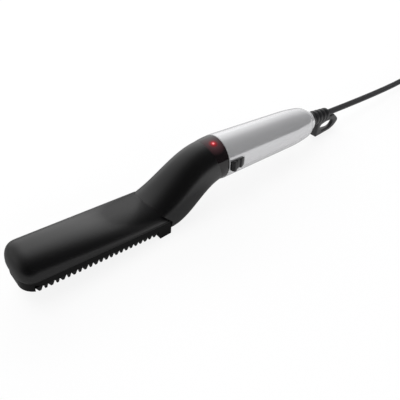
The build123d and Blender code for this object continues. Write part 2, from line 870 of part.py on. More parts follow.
def board_parts():
    """Film capacitor, power switch and dropping resistor standing on the board."""
    top = axis_height - board_top_drop
    length, width, height = capacitor_size
    capacitor = block(capacitor_x, capacitor_x + length, -width / 2, width / 2, top, top + height)
    capacitor = fillet(capacitor.edges().filter_by(Axis.Z), capacitor_corner)
    length, width, height = triac_size
    triac = block(triac_x, triac_x + length, -width / 2, width / 2, top, top + height)
    tab_top = top + height + triac_tab_height
    triac += block(triac_x, triac_x + triac_tab_thickness, -width / 2, width / 2, top + height, tab_top)
    z = top + resistor_radius
    x0, x1 = resistor_x, resistor_x + resistor_length
    resistor = rod(x0, x1, 0, z, resistor_radius)
    resistor += rod(x0 - resistor_lead_length, x1 + resistor_lead_length, 0, z, resistor_lead_radius)
    return capacitor, triac, resistor


# Switch


def switch_face():
    """Where the switch's face is, just inside the board's edge."""
    return -board_half_width + switch_inset


def switch_body():
    """Slide switch on the board, with a slot for its lever."""
    x0 = stem_front()
    x1 = x0 + stem_length + switch_travel
    y0 = switch_face()
    low, high = axis_height - board_top_drop, axis_height + switch_body_half_height
    housing = block(x0 - switch_body_margin, x1 + switch_body_margin, y0, y0 + switch_body_depth, low, high)
    half, end = stem_half_height + lever_gap, y0 + lever_reach + lever_gap
    low, high = axis_height - half, axis_height + half
    return housing - block(x0 - lever_gap, x1 + lever_gap, y0 - lever_overhang, end, low, high)


def switch_lever():
    """The switch's own lever, which the knob's stem pushes."""
    x0, y0 = stem_front(), switch_face()
    low, high = axis_height - stem_half_height, axis_height + stem_half_height
    return block(x0, x0 + stem_length, y0 - lever_overhang, y0 + lever_reach, low, high)


def switch_knob():
    """Thumb piece on the sleeve's side: a tall lip in front, two lower ridges behind it and a stem."""
    inner = sleeve_front_radius + knob_gap
    plate, lip, x = inner + knob_plate, inner + knob_lip, knob_front_x
    outline = [(x, inner), (x, plate), (x + knob_lip_lean, lip), (x + knob_lip_width, lip)]
    for k in range(knob_ridge_count):
        foot = x + knob_lip_width + k * knob_ridge_pitch + knob_ridge_slope
        outline += [
            (foot, plate),
            (foot + knob_ridge_slope, plate),
            (foot + 2 * knob_ridge_slope, plate + knob_ridge),
            (foot + 2 * knob_ridge_slope + knob_ridge_width, plate + knob_ridge),
        ]
    outline += [(x + knob_length, inner + knob_tail), (x + knob_length, inner)]
    side = block(-BIG, BIG, -BIG, 0, axis_height - knob_drop, axis_height + knob_rise)
    stem_x, half = stem_front(), stem_half_height
    stem_end = switch_face() - lever_overhang
    stem = block(stem_x, stem_x + stem_length, -plate, stem_end, axis_height - half, axis_height + half)
    return (turned(*outline) & side) + stem


# Swivel, strain relief and contacts


def rear_collar():
    """Bright collar behind the sleeve, with a spigot inside it and a lip that keeps the swivel in."""
    r, t = collar_radius, collar_edge
    lip_x = collar_rear_x - collar_lip_width
    return turned(
        (spigot_front_x, bush_radius + press_gap),
        (spigot_front_x, spigot_radius),
        (sleeve_length, spigot_radius),
        (sleeve_length, r - t),
        (sleeve_length + t, r),
        (collar_rear_x - 2 * t, collar_rear_radius + t),
        (collar_rear_x, collar_rear_radius - t),
        (collar_rear_x, collar_lip_radius),
        (lip_x, collar_lip_radius),
        (lip_x, bush_radius + press_gap),
    )


def swivel_bush():
    """Slippery bush in the collar, in which the strain relief turns."""
    lip_start = flange_front_x + flange_width + swivel_gap
    lip_end = collar_rear_x - collar_lip_width - press_gap
    return turned(
        (spigot_front_x, flange_radius + swivel_gap),
        (spigot_front_x, bush_radius),
        (lip_end, bush_radius),
        (lip_end, relief_neck_radius + swivel_gap),
        (lip_start, relief_neck_radius + swivel_gap),
        (lip_start, flange_radius + swivel_gap),
    )


def swivel_rotor():
    """Insulating hub that turns with the strain relief and carries the two contacts."""
    front = rotor_front_x - contact_ring_width - rotor_nose
    return turned(
        (front, contact_pin_radius),
        (front, rotor_hub_radius),
        (rotor_front_x, rotor_hub_radius),
        (rotor_front_x + rotor_cone, flange_radius),
        (flange_front_x, flange_radius),
        (flange_front_x, contact_pin_radius),
    )


def contacts():
    """Round contacts of the swivel: the ring on its hub and the pin through its middle."""
    ring_x = rotor_front_x - contact_ring_width - contact_ring_setback
    ring = turned(
        (ring_x, rotor_hub_radius),
        (ring_x, contact_ring_radius),
        (ring_x + contact_ring_width, contact_ring_radius),
        (ring_x + contact_ring_width, rotor_hub_radius),
    )
    pin = rod(contact_pin_tip_x, flange_front_x, 0, axis_height, contact_pin_radius)
    return ring, pin


def contact_springs():
    """Two leaf springs on the board: one on the side of the ring, one on the end of the pin."""
    t, low, high = spring_thickness, axis_height - spring_half_height, axis_height + spring_half_height
    foot_x, foot_end = spring_foot_x, spring_foot_x + spring_foot_length
    foot_z = axis_height - board_top_drop
    y = contact_ring_radius + spring_touch_gap
    side = block(foot_x, rotor_front_x - contact_ring_setback - fit_gap, y, y + t, low, high)
    side += block(foot_x, foot_end, y, y + t, foot_z, high)
    tip_x = contact_pin_tip_x - spring_touch_gap
    y = -contact_pin_radius - spring_side_gap
    middle = block(foot_x, tip_x, y, y + t, low, high) + block(foot_x, foot_end, y, y + t, foot_z, high)
    middle += block(tip_x - t, tip_x, y, contact_pin_radius + spring_tip_margin, low, high)
    return side, middle


def loop_frame():
    """D-shaped hanging loop under the strain relief, thicker in front, with its eye."""
    top = axis_height - cord_width / 2 - loop_top_clearance
    rear_top = (loop_foot_x + loop_top_reach, top)
    low_front, low_rear = (loop_front_x, loop_bottom), (loop_foot_x, loop_foot_height)
    rear = (loop_rear_x, loop_rear_height)
    edge = Spline(low_rear, rear, rear_top, tangents=[loop_foot_turn, loop_top_turn])
    outline = Line(low_front, low_rear) + edge + Polyline(rear_top, (loop_front_x, top), low_front)
    slab = extrude(ACROSS * make_face(outline), amount=loop_front_half_thickness, both=True)
    front_y, rear_y = loop_front_half_thickness, loop_half_thickness
    plan = make_face(
        Polyline(
            (loop_front_x, -front_y),
            (loop_foot_x, -rear_y),
            (loop_rear_x + overlap, -rear_y),
            (loop_rear_x + overlap, rear_y),
            (loop_foot_x, rear_y),
            (loop_front_x, front_y),
            close=True,
        )
    )
    wedge = extrude(plan, amount=axis_height)
    corners = eye_low_points + eye_rear_points + eye_high_points
    points = [(loop_front_x + x, loop_bottom + z) for x, z in corners]
    eye = side_prism(points, 2 * loop_front_half_thickness)
    eye = fillet(eye.edges().filter_by(Axis.Y), eye_corner)
    return (slab & wedge) - eye


def strain_relief():
    """Ribbed rubber strain relief with the hanging loop, held by its flange in the swivel bush."""
    slope = (relief_end_radius - relief_front_radius) / (relief_end_x - relief_front_x)
    points = [
        (flange_front_x, 0),
        (flange_front_x, flange_radius),
        (flange_front_x + flange_width, flange_radius),
        (flange_front_x + flange_width, relief_neck_radius),
        (relief_front_x, relief_neck_radius),
        (relief_front_x, relief_front_radius),
    ]
    for k in range(relief_rib_count):
        x = relief_front_x + relief_first_groove + k * relief_groove_pitch
        r = relief_front_radius + slope * (x - relief_front_x)
        points += [
            (x, r),
            (x + relief_groove_width * relief_groove_slope, r - relief_groove_depth),
            (x + relief_groove_width * (1 - relief_groove_slope), r - relief_groove_depth),
            (x + relief_groove_width, r + slope * relief_groove_width),
        ]
    x, r, t = relief_end_x, relief_end_radius, relief_end_chamfer
    points += [(x - t, r), (x, r - t), (x, 0)]
    return turned(*points) + loop_frame() - floor_block()


# Wiring inside the neck


def heater_leads():
    """Two insulated wires from the board through the neck to the heater."""
    start_x = heater_mid_x + heater_length / 2 + lead_start_gap
    start_z = plate_bottom + plate_thickness + lead_start_rise
    end = (board_front_x + lead_board_reach, axis_height - board_top_drop + lead_board_rise)
    route = [(start_x, start_z), *lead_turns, end]
    return [wire(lead_radius, lead_bend, *[(x, y, z) for x, z in route]) for y in lead_places]


# Cord


def arc_radii(points):
    """The bend at each corner of a route: 0.45 of the shorter run over the tangent of half the turn."""
    radii = []
    for before, here, after in zip(points, points[1:], points[2:]):
        first, second = here - before, after - here
        half_turn = radians(first.get_angle(second)) / 2
        radii.append(0.45 * min(first.length, second.length) / tan(half_turn))
    return radii


# The cord's points below are in the resting frame, because the cord lies on the table
cord_pitch = cord_width + cord_gap
waist_turn = 2 * atan(hank_waist / (hank_run / 2))
run_step = (cord_width + cord_gap + stack_gap) / cos(waist_turn)
inner_offset = hank_fold_radius - run_step / 4
hank_end_x = hank_start_x + hank_run


def run_offset(k):
    """How far run k lies from the hank's middle line: in by half a step a run, and out again."""
    return inner_offset + run_step * abs((k + 1) % (2 * runs_per_layer) - runs_per_layer) / 2


def run_side(k):
    """+1 for the runs that lead away from the object, on the far side, and -1 for the others."""
    return 1 if k % 2 == 0 else -1


def layer_height(k):
    """Height of the cord's middle on the loops of layer k, counted from 0."""
    return cord_width / 2 + k * cord_pitch


def s_bend(start, end, heading):
    """Two alike arcs between two points, with the same heading at both."""
    middle = (start + end) / 2
    first = TangentArc(start, middle, tangent=heading)
    return [first, TangentArc(middle, end, tangent=first % 1)]


def hank_path():
    """The hank's loops: runs drawn in at the waist, half turns, and a climb on each layer's last run."""
    pieces = []
    layer = 0
    waist_lift = tie_thickness + tie_gap
    point = None
    for k in range(hank_runs):
        side = run_side(k)
        y = hank_mid_y + side * run_offset(k)
        climbs = (k + 1) % runs_per_layer == 0
        x0, x1 = (hank_start_x, hank_end_x) if side > 0 else (hank_end_x, hank_start_x)
        z0, z1 = layer_height(layer), layer_height(layer + 1 if climbs else layer)
        layer += 1 if climbs else 0
        start, end = Vector(x0, y, z0), Vector(x1, y, z1)
        if point is not None:
            middle_y = (point.Y + start.Y) / 2
            reach = abs(point.Y - start.Y) / 2
            outward = -side
            pieces.append(ThreePointArc(point, Vector(x0 + outward * reach, middle_y, z0), start))
        waist = Vector((x0 + x1) / 2, y - side * hank_waist, (z0 + z1) / 2 + waist_lift)
        heading = Vector(side, 0, 0)
        pieces += s_bend(start, waist, heading) + s_bend(waist, end, heading)
        point = end
    return pieces, point


def over_fold(point):
    """The last half turn, which lifts the cord's end on top of the hank, where the plug lies."""
    lead = point - Vector(over_fold_lead, 0, 0)
    rise = plug_height() - lead.Z
    across = (4 * over_fold_radius**2 - rise**2) ** 0.5
    back = lead + Vector(0, across, rise)
    middle = (lead + back) / 2 - Vector(over_fold_radius, 0, 0)
    end = back + Vector(over_fold_lead, 0, 0)
    return [Line(point, lead), ThreePointArc(lead, middle, back), Line(back, end)], end


def plug_height():
    """Height of the plug's middle: it lies on the tie and on the hank's top layer."""
    top_layer = (hank_runs - 1) // runs_per_layer
    return layer_height(top_layer) + cord_width / 2 + 2 * (tie_thickness + tie_gap) + plug_thickness / 2


def free_cord_points(outlet):
    """Route of the cord from its outlet to the hank: straight at first, then down to the table."""
    y = hank_mid_y + run_offset(0)
    bend_height = outlet.Z - (cord_bend_x - outlet.X) * tan(radians(rest_tilt))
    return [
        outlet,
        Vector(cord_bend_x, 0, bend_height),
        Vector(hank_start_x - hank_lead_in, y, layer_height(0)),
        Vector(hank_start_x, y, layer_height(0)),
    ]


def tube(path):
    """A round tube as wide as the flat cord, along a path."""
    return sweep(Plane(origin=path @ 0, z_dir=path % 0) * Circle(cord_width / 2), path=path)


def hank_tie():
    """Band round the waist of the hank."""
    outer_y = [hank_mid_y + run_side(k) * (run_offset(k) - hank_waist) for k in range(hank_runs)]
    gap, t = tie_gap, tie_thickness
    y0, y1 = min(outer_y) - cord_width / 2 - gap, max(outer_y) + cord_width / 2 + gap
    lift = tie_thickness + tie_gap
    top_layer = (hank_runs - 1) // runs_per_layer
    z0, z1 = t, layer_height(top_layer) + lift + cord_width / 2 + gap
    x = (hank_start_x + hank_end_x) / 2
    corner = cord_width / 2
    band = block(x - tie_width / 2, x + tie_width / 2, y0 - t, y1 + t, z0 - t, z1 + t)
    band = fillet(band.edges().filter_by(Axis.X), corner + t)
    hole = block(x - tie_width, x + tie_width, y0, y1, z0, z1)
    return band - fillet(hole.edges().filter_by(Axis.X), corner)


def plug_pieces(end):
    """Flat two-pin plug lying on the hank: its moulded body with a tapered strain relief, and its pins."""
    at_end = Pos(end.X, end.Y, end.Z)
    upright = Rot(0, 90, 0)
    length, flare = plug_relief_length, plug_relief_flare
    cone = Cone(plug_relief_radius, plug_relief_radius + flare, length)
    relief = at_end * Pos(length / 2, 0, 0) * upright * cone
    for k in range(plug_groove_count):
        x = plug_first_groove + k * plug_groove_pitch
        radius = plug_relief_radius + flare * x / length - plug_groove_depth
        around = Cylinder(2 * plug_relief_radius, plug_groove_width) - Cylinder(radius, 2 * plug_groove_width)
        relief -= at_end * Pos(x, 0, 0) * upright * around
    half, neck = plug_body_width / 2, plug_neck_width / 2
    shoulder = (length + plug_body_length * plug_shoulder_share, half * plug_shoulder_width_share)
    front = length + plug_body_length
    near_side = [(length - overlap, neck), shoulder, (front - plug_front_straight, half), (front, half)]
    far_side = [(x, -y) for x, y in reversed(near_side)]
    outline = make_face(Polyline(*near_side, *far_side, close=True))
    body = extrude(at_end * outline, amount=plug_thickness / 2, both=True)
    rims = body.faces().sort_by(Axis.Z)
    body = fillet(rims[0].edges() + rims[-1].edges(), plug_edge_radius)
    pin = Pos(front + plug_pin_length / 2, 0, 0) * upright * Cylinder(plug_pin_radius, plug_pin_length)
    pins = [at_end * Pos(0, side * plug_pin_spacing / 2, 0) * pin for side in (-1, 1)]
    return body + relief, pins


def cord_pieces(outlet):
    """The cord's free stretch, hank, tie and plug. Prints their radii, lengths and gaps."""
    points = free_cord_points(outlet)
    radii = arc_radii(points)
    free_path = FilletPolyline(*points, radius=radii)
    free = tube(free_path)
    print("free stretch radii", [round(r, 1) for r in radii], "length", round(free_path.length, 1))
    section = pi * cord_width**2 / 4
    ratio = free.volume / (section * free_path.length)
    print("free stretch volume over section times length", round(ratio, 4))
    pieces, point = hank_path()
    tail, end = over_fold(point)
    path = Wire(pieces + tail)
    hank = tube(path)
    ratio = hank.volume / (section * path.length)
    print("hank length", round(path.length, 1), "volume ratio", round(ratio, 4))
    print("hank's least gap to itself", round(least_gap(path), 2))
    print("whole cord", round(path.length + free_path.length, 1))
    body, pins = plug_pieces(end)
    return {
        "power_cord": [free],
        "cord_hank": [hank],
        "hank_tie": [hank_tie()],
        "plug_body": [body],
        "plug_pins": pins,
    }


def least_gap(path):
    """The least gap between the hank's tube and itself, over points along it a millimetre apart."""
    count = int(path.length)
    points = [path @ (i / count) for i in range(count + 1)]
    beyond = int(4 * cord_width)
    least = BIG
    for i, first in enumerate(points):
        for second in points[i + beyond :]:
            gap = hypot(first.X - second.X, first.Y - second.Y, first.Z - second.Z)
            least = min(least, gap)
    return least - cord_width


def object_pieces():
    """Every node of the object itself, by name, in the handle's frame."""
    heater, film, clamp = heater_stack()
    neck, underside = neck_pieces()
    lower, upper = core_halves()
    capacitor, triac, resistor = board_parts()
    ring, pin = contacts()
    return {
        "head_cover": [head_cover()],
        "comb_frame": [comb_frame()],
        "heating_plate": [heating_plate()],
        "ceramic_heater": [heater],
        "heater_film": [film],
        "heater_clamp": [clamp],
        "thermal_fuse": [thermal_fuse()],
        "thermistor": [thermistor()],
        "head_screws": head_screws(),
        "neck_shell": [neck],
        "neck_underside": [underside],
        "neck_screws": neck_screws(),
        "heater_leads": heater_leads(),
        "indicator_ring": [indicator_ring()],
        "indicator_lamp": [indicator_lamp()],
        "lamp_holder": [lamp_holder()],
        "handle_sleeve": [handle_sleeve()],
        "core_lower": [lower],
        "core_upper": [upper],
        "core_screws": core_screws(),
        "control_board": [control_board()],
        "film_capacitor": [capacitor],
        "power_triac": [triac],
        "dropping_resistor": [resistor],
        "switch_body": [switch_body()],
        "switch_lever": [switch_lever()],
        "switch_knob": [switch_knob()],
        "rear_collar": [rear_collar()],
        "swivel_bush": [swivel_bush()],
        "swivel_rotor": [swivel_rotor()],
        "contact_ring": [ring],
        "contact_pin": [pin],
        "contact_springs": list(contact_springs()),
        "strain_relief": [strain_relief()],
    }


def lay_down(pieces):
    """Where the pieces go when the object lies on the table, with the origin under its middle."""
    tilt = Rot(0, rest_tilt, 0)
    boxes = [(tilt * solid).bounding_box() for solids in pieces.values() for solid in solids]
    front = min(box.min.X for box in boxes)
    rear = max(box.max.X for box in boxes)
    table = (tilt * Pos(comb_rear_x, 0, -heel_drop)).position.Z
    return Pos(-(front + rear) / 2, 0, -table) * tilt


def main():
    """Builds and writes every node."""
    pieces = object_pieces()
    rest = lay_down(pieces)
    outlet = (rest * Pos(relief_end_x, 0, axis_height)).position
    print("rest tilt", round(rest_tilt, 3), "outlet", outlet)
    for name, solids in pieces.items():
        export(name, [rest * solid for solid in solids])
    for name, solids in cord_pieces(outlet).items():
        export(name, solids)


main()
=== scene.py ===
import json
import logging
import math
from collections.abc import Callable, Iterable
from dataclasses import dataclass, field
from enum import Enum

import bmesh
import bpy
from mathutils import Euler, Matrix, Vector


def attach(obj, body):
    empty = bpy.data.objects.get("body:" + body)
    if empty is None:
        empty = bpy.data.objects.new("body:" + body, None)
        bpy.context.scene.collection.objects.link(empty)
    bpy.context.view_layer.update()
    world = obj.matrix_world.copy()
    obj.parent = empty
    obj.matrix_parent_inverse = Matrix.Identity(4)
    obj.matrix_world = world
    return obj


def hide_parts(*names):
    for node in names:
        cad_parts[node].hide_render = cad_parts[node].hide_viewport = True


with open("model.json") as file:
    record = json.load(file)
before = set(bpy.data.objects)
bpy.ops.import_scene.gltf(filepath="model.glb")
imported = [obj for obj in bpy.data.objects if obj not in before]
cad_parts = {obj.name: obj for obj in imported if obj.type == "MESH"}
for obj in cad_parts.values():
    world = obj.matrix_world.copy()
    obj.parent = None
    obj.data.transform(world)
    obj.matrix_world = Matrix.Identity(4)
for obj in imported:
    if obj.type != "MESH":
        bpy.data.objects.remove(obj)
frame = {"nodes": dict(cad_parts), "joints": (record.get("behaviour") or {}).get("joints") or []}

logging.basicConfig(level=logging.INFO, format="%(message)s")
log = logging.getLogger("straightener")

MM = 0.001
Colour = tuple[float, float, float]
Point = tuple[float, float, float]


class Body(Enum):
    """The bodies that pieces ride on."""

    HANDLE = "handle"
    SWITCH = "switch"
    CORD_END = "cord_end"


# Shaders


class Sock:
    """An output socket of a shader node that does arithmetic by adding Math nodes."""

    def __init__(self, shader: "Shader", socket: bpy.types.NodeSocket) -> None:
        """Wraps a socket.

        Args:
            shader: the shader that the socket belongs to.
            socket: the output socket.
        """
        self.shader = shader
        self.socket = socket

    def _math(self, operation: str, first: "Sock | float", second: "Sock | float") -> "Sock":
        """Adds a Math node.

        Args:
            operation: the node's operation.
            first: its first value.
            second: its second value.

        Returns:
            The node's result.
        """
        return self.shader.node("ShaderNodeMath", {"operation": operation}, {0: first, 1: second})

    def __add__(self, other: "Sock | float") -> "Sock":
        """The sum of the two."""
        return self._math("ADD", self, other)

    def __radd__(self, other: float) -> "Sock":
        """The sum of the two."""
        return self._math("ADD", other, self)

    def __sub__(self, other: "Sock | float") -> "Sock":
        """The difference of the two."""
        return self._math("SUBTRACT", self, other)

    def __rsub__(self, other: float) -> "Sock":
        """The difference of the two."""
        return self._math("SUBTRACT", other, self)

    def __mul__(self, other: "Sock | float") -> "Sock":
        """The product of the two."""
        return self._math("MULTIPLY", self, other)

    def __rmul__(self, other: float) -> "Sock":
        """The product of the two."""
        return self._math("MULTIPLY", other, self)

    def __truediv__(self, other: "Sock | float") -> "Sock":
        """The quotient of the two."""
        return self._math("DIVIDE", self, other)

    def __rtruediv__(self, other: float) -> "Sock":
        """The quotient of the two."""
        return self._math("DIVIDE", other, self)


class Shader:
    """The node tree of one material, or of the world."""

    def __init__(self, owner: bpy.types.Material | bpy.types.World) -> None:
        """Switches the owner's nodes on.

        Args:
            owner: the material or the world.
        """
        owner.use_nodes = True
        self.tree = owner.node_tree

    def node(
        self,
        kind: str,
        settings: dict[str, object] | None = None,
        inputs: dict[int | str, object] | None = None,
        output: int | str = 0,
    ) -> Sock:
        """Adds one node.

        Args:
            kind: the node's type.
            settings: its properties; "stops" gives a ramp's (position, grey or colour) pairs.
            inputs: values or linked sockets of its inputs, by index or name.
            output: the output that is wanted.

        Returns:
            That output.
        """
        node = self.tree.nodes.new(kind)
        for key, value in (settings or {}).items():
            if key == "stops":
                self._set_stops(node, value)
            else:
                setattr(node, key, value)
        for key, value in (inputs or {}).items():
            self._feed(node.inputs[key], value)
        return Sock(self, node.outputs[output])

    def _set_stops(self, node: bpy.types.Node, stops: list[tuple[float, float | Colour]]) -> None:
        """Sets a ramp's stops.

        Args:
            node: the ColorRamp node.
            stops: pairs of a position and a grey level or colour.
        """
        elements = node.color_ramp.elements
        while len(elements) < len(stops):
            elements.new(0.5)
        for element, (position, value) in zip(elements, stops):
            element.position = position
            colour = (value,) * 3 if isinstance(value, (int, float)) else value
            element.color = (*colour, 1.0)

    def _feed(self, socket: bpy.types.NodeSocket, value: object) -> None:
        """Links a socket, or sets its value.

        Args:
            socket: the input socket.
            value: a wrapped output, a number or a tuple.
        """
        if isinstance(value, Sock):
            self.tree.links.new(value.socket, socket)
        elif isinstance(value, tuple) and len(value) == 3 and socket.type == "RGBA":
            socket.default_value = (*value, 1.0)
        else:
            socket.default_value = value

    def set(self, **values: object) -> None:
        """Feeds sockets of the Principled BSDF.

        Args:
            values: what each socket gets, with the spaces in its name as underscores.
        """
        sockets = self.tree.nodes["Principled BSDF"].inputs
        for key, value in values.items():
            self._feed(sockets[key.replace("_", " ")], value)

    def show(self, output: str, result: Sock) -> None:
        """Links a result to the surface of the tree's output node, which is given by name."""
        self.tree.links.new(result.socket, self.tree.nodes[output].inputs["Surface"])

    def place(self, scale: Point = (1.0, 1.0, 1.0)) -> Sock:
        """Object coordinates, stretched along each axis.

        Args:
            scale: the stretch along each axis.

        Returns:
            The coordinates.
        """
        coords = self.node("ShaderNodeTexCoord", output="Object")
        return self.node("ShaderNodeMapping", inputs={"Vector": coords, "Scale": scale})

    def axis(self, vector: Sock, name: str) -> Sock:
        """One of a vector's parts, X, Y or Z."""
        return self.node("ShaderNodeSeparateXYZ", inputs={0: vector}, output=name)

    def ray(self, kind: str) -> Sock:
        """Whether a ray is of a kind, as a Light Path output names it."""
        return self.node("ShaderNodeLightPath", output=kind)

    def larger(self, first: Sock, second: Sock) -> Sock:
        """The larger of two values."""
        return self.node("ShaderNodeMath", {"operation": "MAXIMUM"}, {0: first, 1: second})

    def noise(self, vector: Sock, scale: float, detail: float = 3.0) -> Sock:
        """Grey noise from 0 to 1.

        Args:
            vector: the coordinates.
            scale: how fine it is, per metre.
            detail: the number of finer layers.

        Returns:
            The noise.
        """
        return self.node("ShaderNodeTexNoise", inputs={"Vector": vector, "Scale": scale, "Detail": detail})

    def ramp(self, value: Sock, *stops: tuple[float, float | Colour]) -> Sock:
        """A ColorRamp over a value."""
        return self.node("ShaderNodeValToRGB", {"stops": list(stops)}, {"Fac": value})

    def mix(self, factor: Sock | float, first: Sock | Colour, second: Sock | Colour) -> Sock:
        """A mix of two colours.

        Args:
            factor: 0 for the first colour to 1 for the second.
            first: the first colour.
            second: the second colour.

        Returns:
            The mixed colour.
        """
        return self.node("ShaderNodeMix", {"data_type": "RGBA"}, {0: factor, 6: first, 7: second}, 2)

    def bump(self, height: Sock, depth: float) -> Sock:
        """A Bump node's normal, from a height of 0 to 1 and a depth in metres."""
        return self.node("ShaderNodeBump", inputs={"Height": height, "Distance": depth, "Strength": 1.0})


# Finishes


def lighter(colour: Colour, share: float) -> Colour:
    """A colour made lighter by a share of itself, or darker where the share is negative."""
    return tuple(min(1.0, c * (1.0 + share)) for c in colour)


@dataclass(frozen=True)
class Moulded:
    """Moulded plastic, rubber or another even stuff: faint mottling, a fine grain, and a patchy sheen."""

    name: str
    colour: Colour
    roughness: float = 0.42
    # How much the roughness and the colour vary, and how fine that is and the grain is, per metre
    patches: float = 0.06
    patch_scale: float = 25.0
    mottle: float = 0.18
    cloud_scale: float = 60.0
    grain_scale: float = 1400.0
    grain_depth: float = 0.000012
    gloss: float = 0.5
    coat: float = 0.0
    coat_roughness: float = 0.05
    metallic: float = 0.0

    def material(self) -> bpy.types.Material:
        """Makes the finish's material.

        Returns:
            The material.
        """
        material = bpy.data.materials.new(self.name)
        s = Shader(material)
        coords = s.place()
        cloud = s.noise(coords, self.cloud_scale)
        grain = s.noise(coords, self.grain_scale, 2.0)
        sheen = s.noise(coords, self.patch_scale)
        s.set(
            Base_Color=s.mix(cloud, lighter(self.colour, -self.mottle), lighter(self.colour, self.mottle)),
            Roughness=self.roughness - self.patches / 2 + self.patches * sheen,
            Metallic=self.metallic,
            Specular_IOR_Level=self.gloss,
            Coat_Weight=self.coat,
            Coat_Roughness=self.coat_roughness,
            Normal=s.bump(grain, self.grain_depth),
        )
        return material


@dataclass(frozen=True)
class Metal:
    """Bare or anodised metal with a fine grain drawn out along the handle's axis."""

    name: str
    colour: Colour
    roughness: float = 0.25
    patches: float = 0.06
    mottle: float = 0.04
    cloud_scale: float = 35.0
    grain: Point = (60.0, 2600.0, 2600.0)
    grain_depth: float = 0.000004
    metallic: float = 1.0

    def material(self) -> bpy.types.Material:
        """Makes the finish's material.

        Returns:
            The material.
        """
        material = bpy.data.materials.new(self.name)
        s = Shader(material)
        streaks = s.noise(s.place(self.grain), 1.0, 4.0)
        cloud = s.noise(s.place(), self.cloud_scale)
        s.set(
            Base_Color=s.mix(cloud, lighter(self.colour, -self.mottle), lighter(self.colour, self.mottle)),
            Metallic=self.metallic,
            Roughness=self.roughness - self.patches / 2 + self.patches * streaks,
            Normal=s.bump(streaks, self.grain_depth),
        )
        return material


@dataclass(frozen=True)
class SmokedRing:
    """Glossy smoked plastic, with the glow of the lamp behind it painted on as emission."""

    name: str
    colour: Colour
    lamp: Point
    # The lamp's reach in millimetres, and the painted glow by the distance from it as a share of that
    reach: float = 10.0
    light: tuple[tuple[float, Colour], ...] = (
        (0.0, (1.0, 0.42, 0.45)),
        (0.045, (1.0, 0.42, 0.45)),
        (0.09, (0.70, 0.021, 0.035)),
        (0.18, (0.20, 0.006, 0.010)),
        (0.36, (0.056, 0.0231, 0.0266)),
        (0.90, (0.0, 0.0, 0.0)),
    )
    roughness: float = 0.05
    patches: float = 0.03
    patch_scale: float = 30.0
    mottle: float = 0.2
    cloud_scale: float = 80.0
    index: float = 1.58
    coat: float = 0.1
    coat_roughness: float = 0.03

    def material(self) -> bpy.types.Material:
        """Makes the finish's material.

        Returns:
            The material.
        """
        material = bpy.data.materials.new(self.name)
        s = Shader(material)
        coords = s.node("ShaderNodeTexCoord", output="Object")
        away = s.node("ShaderNodeVectorMath", {"operation": "DISTANCE"}, {0: coords, 1: self.lamp}, "Value")
        cloud = s.noise(s.place(), self.cloud_scale)
        sheen = s.noise(s.place(), self.patch_scale)
        s.set(
            Base_Color=s.mix(cloud, lighter(self.colour, -self.mottle), lighter(self.colour, self.mottle)),
            Roughness=self.roughness + self.patches * sheen,
            IOR=self.index,
            Coat_Weight=self.coat,
            Coat_Roughness=self.coat_roughness,
            # painted glow: emission on the ring's surface, brightest at the lamp's place and fading with the
            # distance from it
            Emission_Color=s.ramp(away / (self.reach * MM), *self.light),
            Emission_Strength=1.0,
        )
        return material


# Meshes


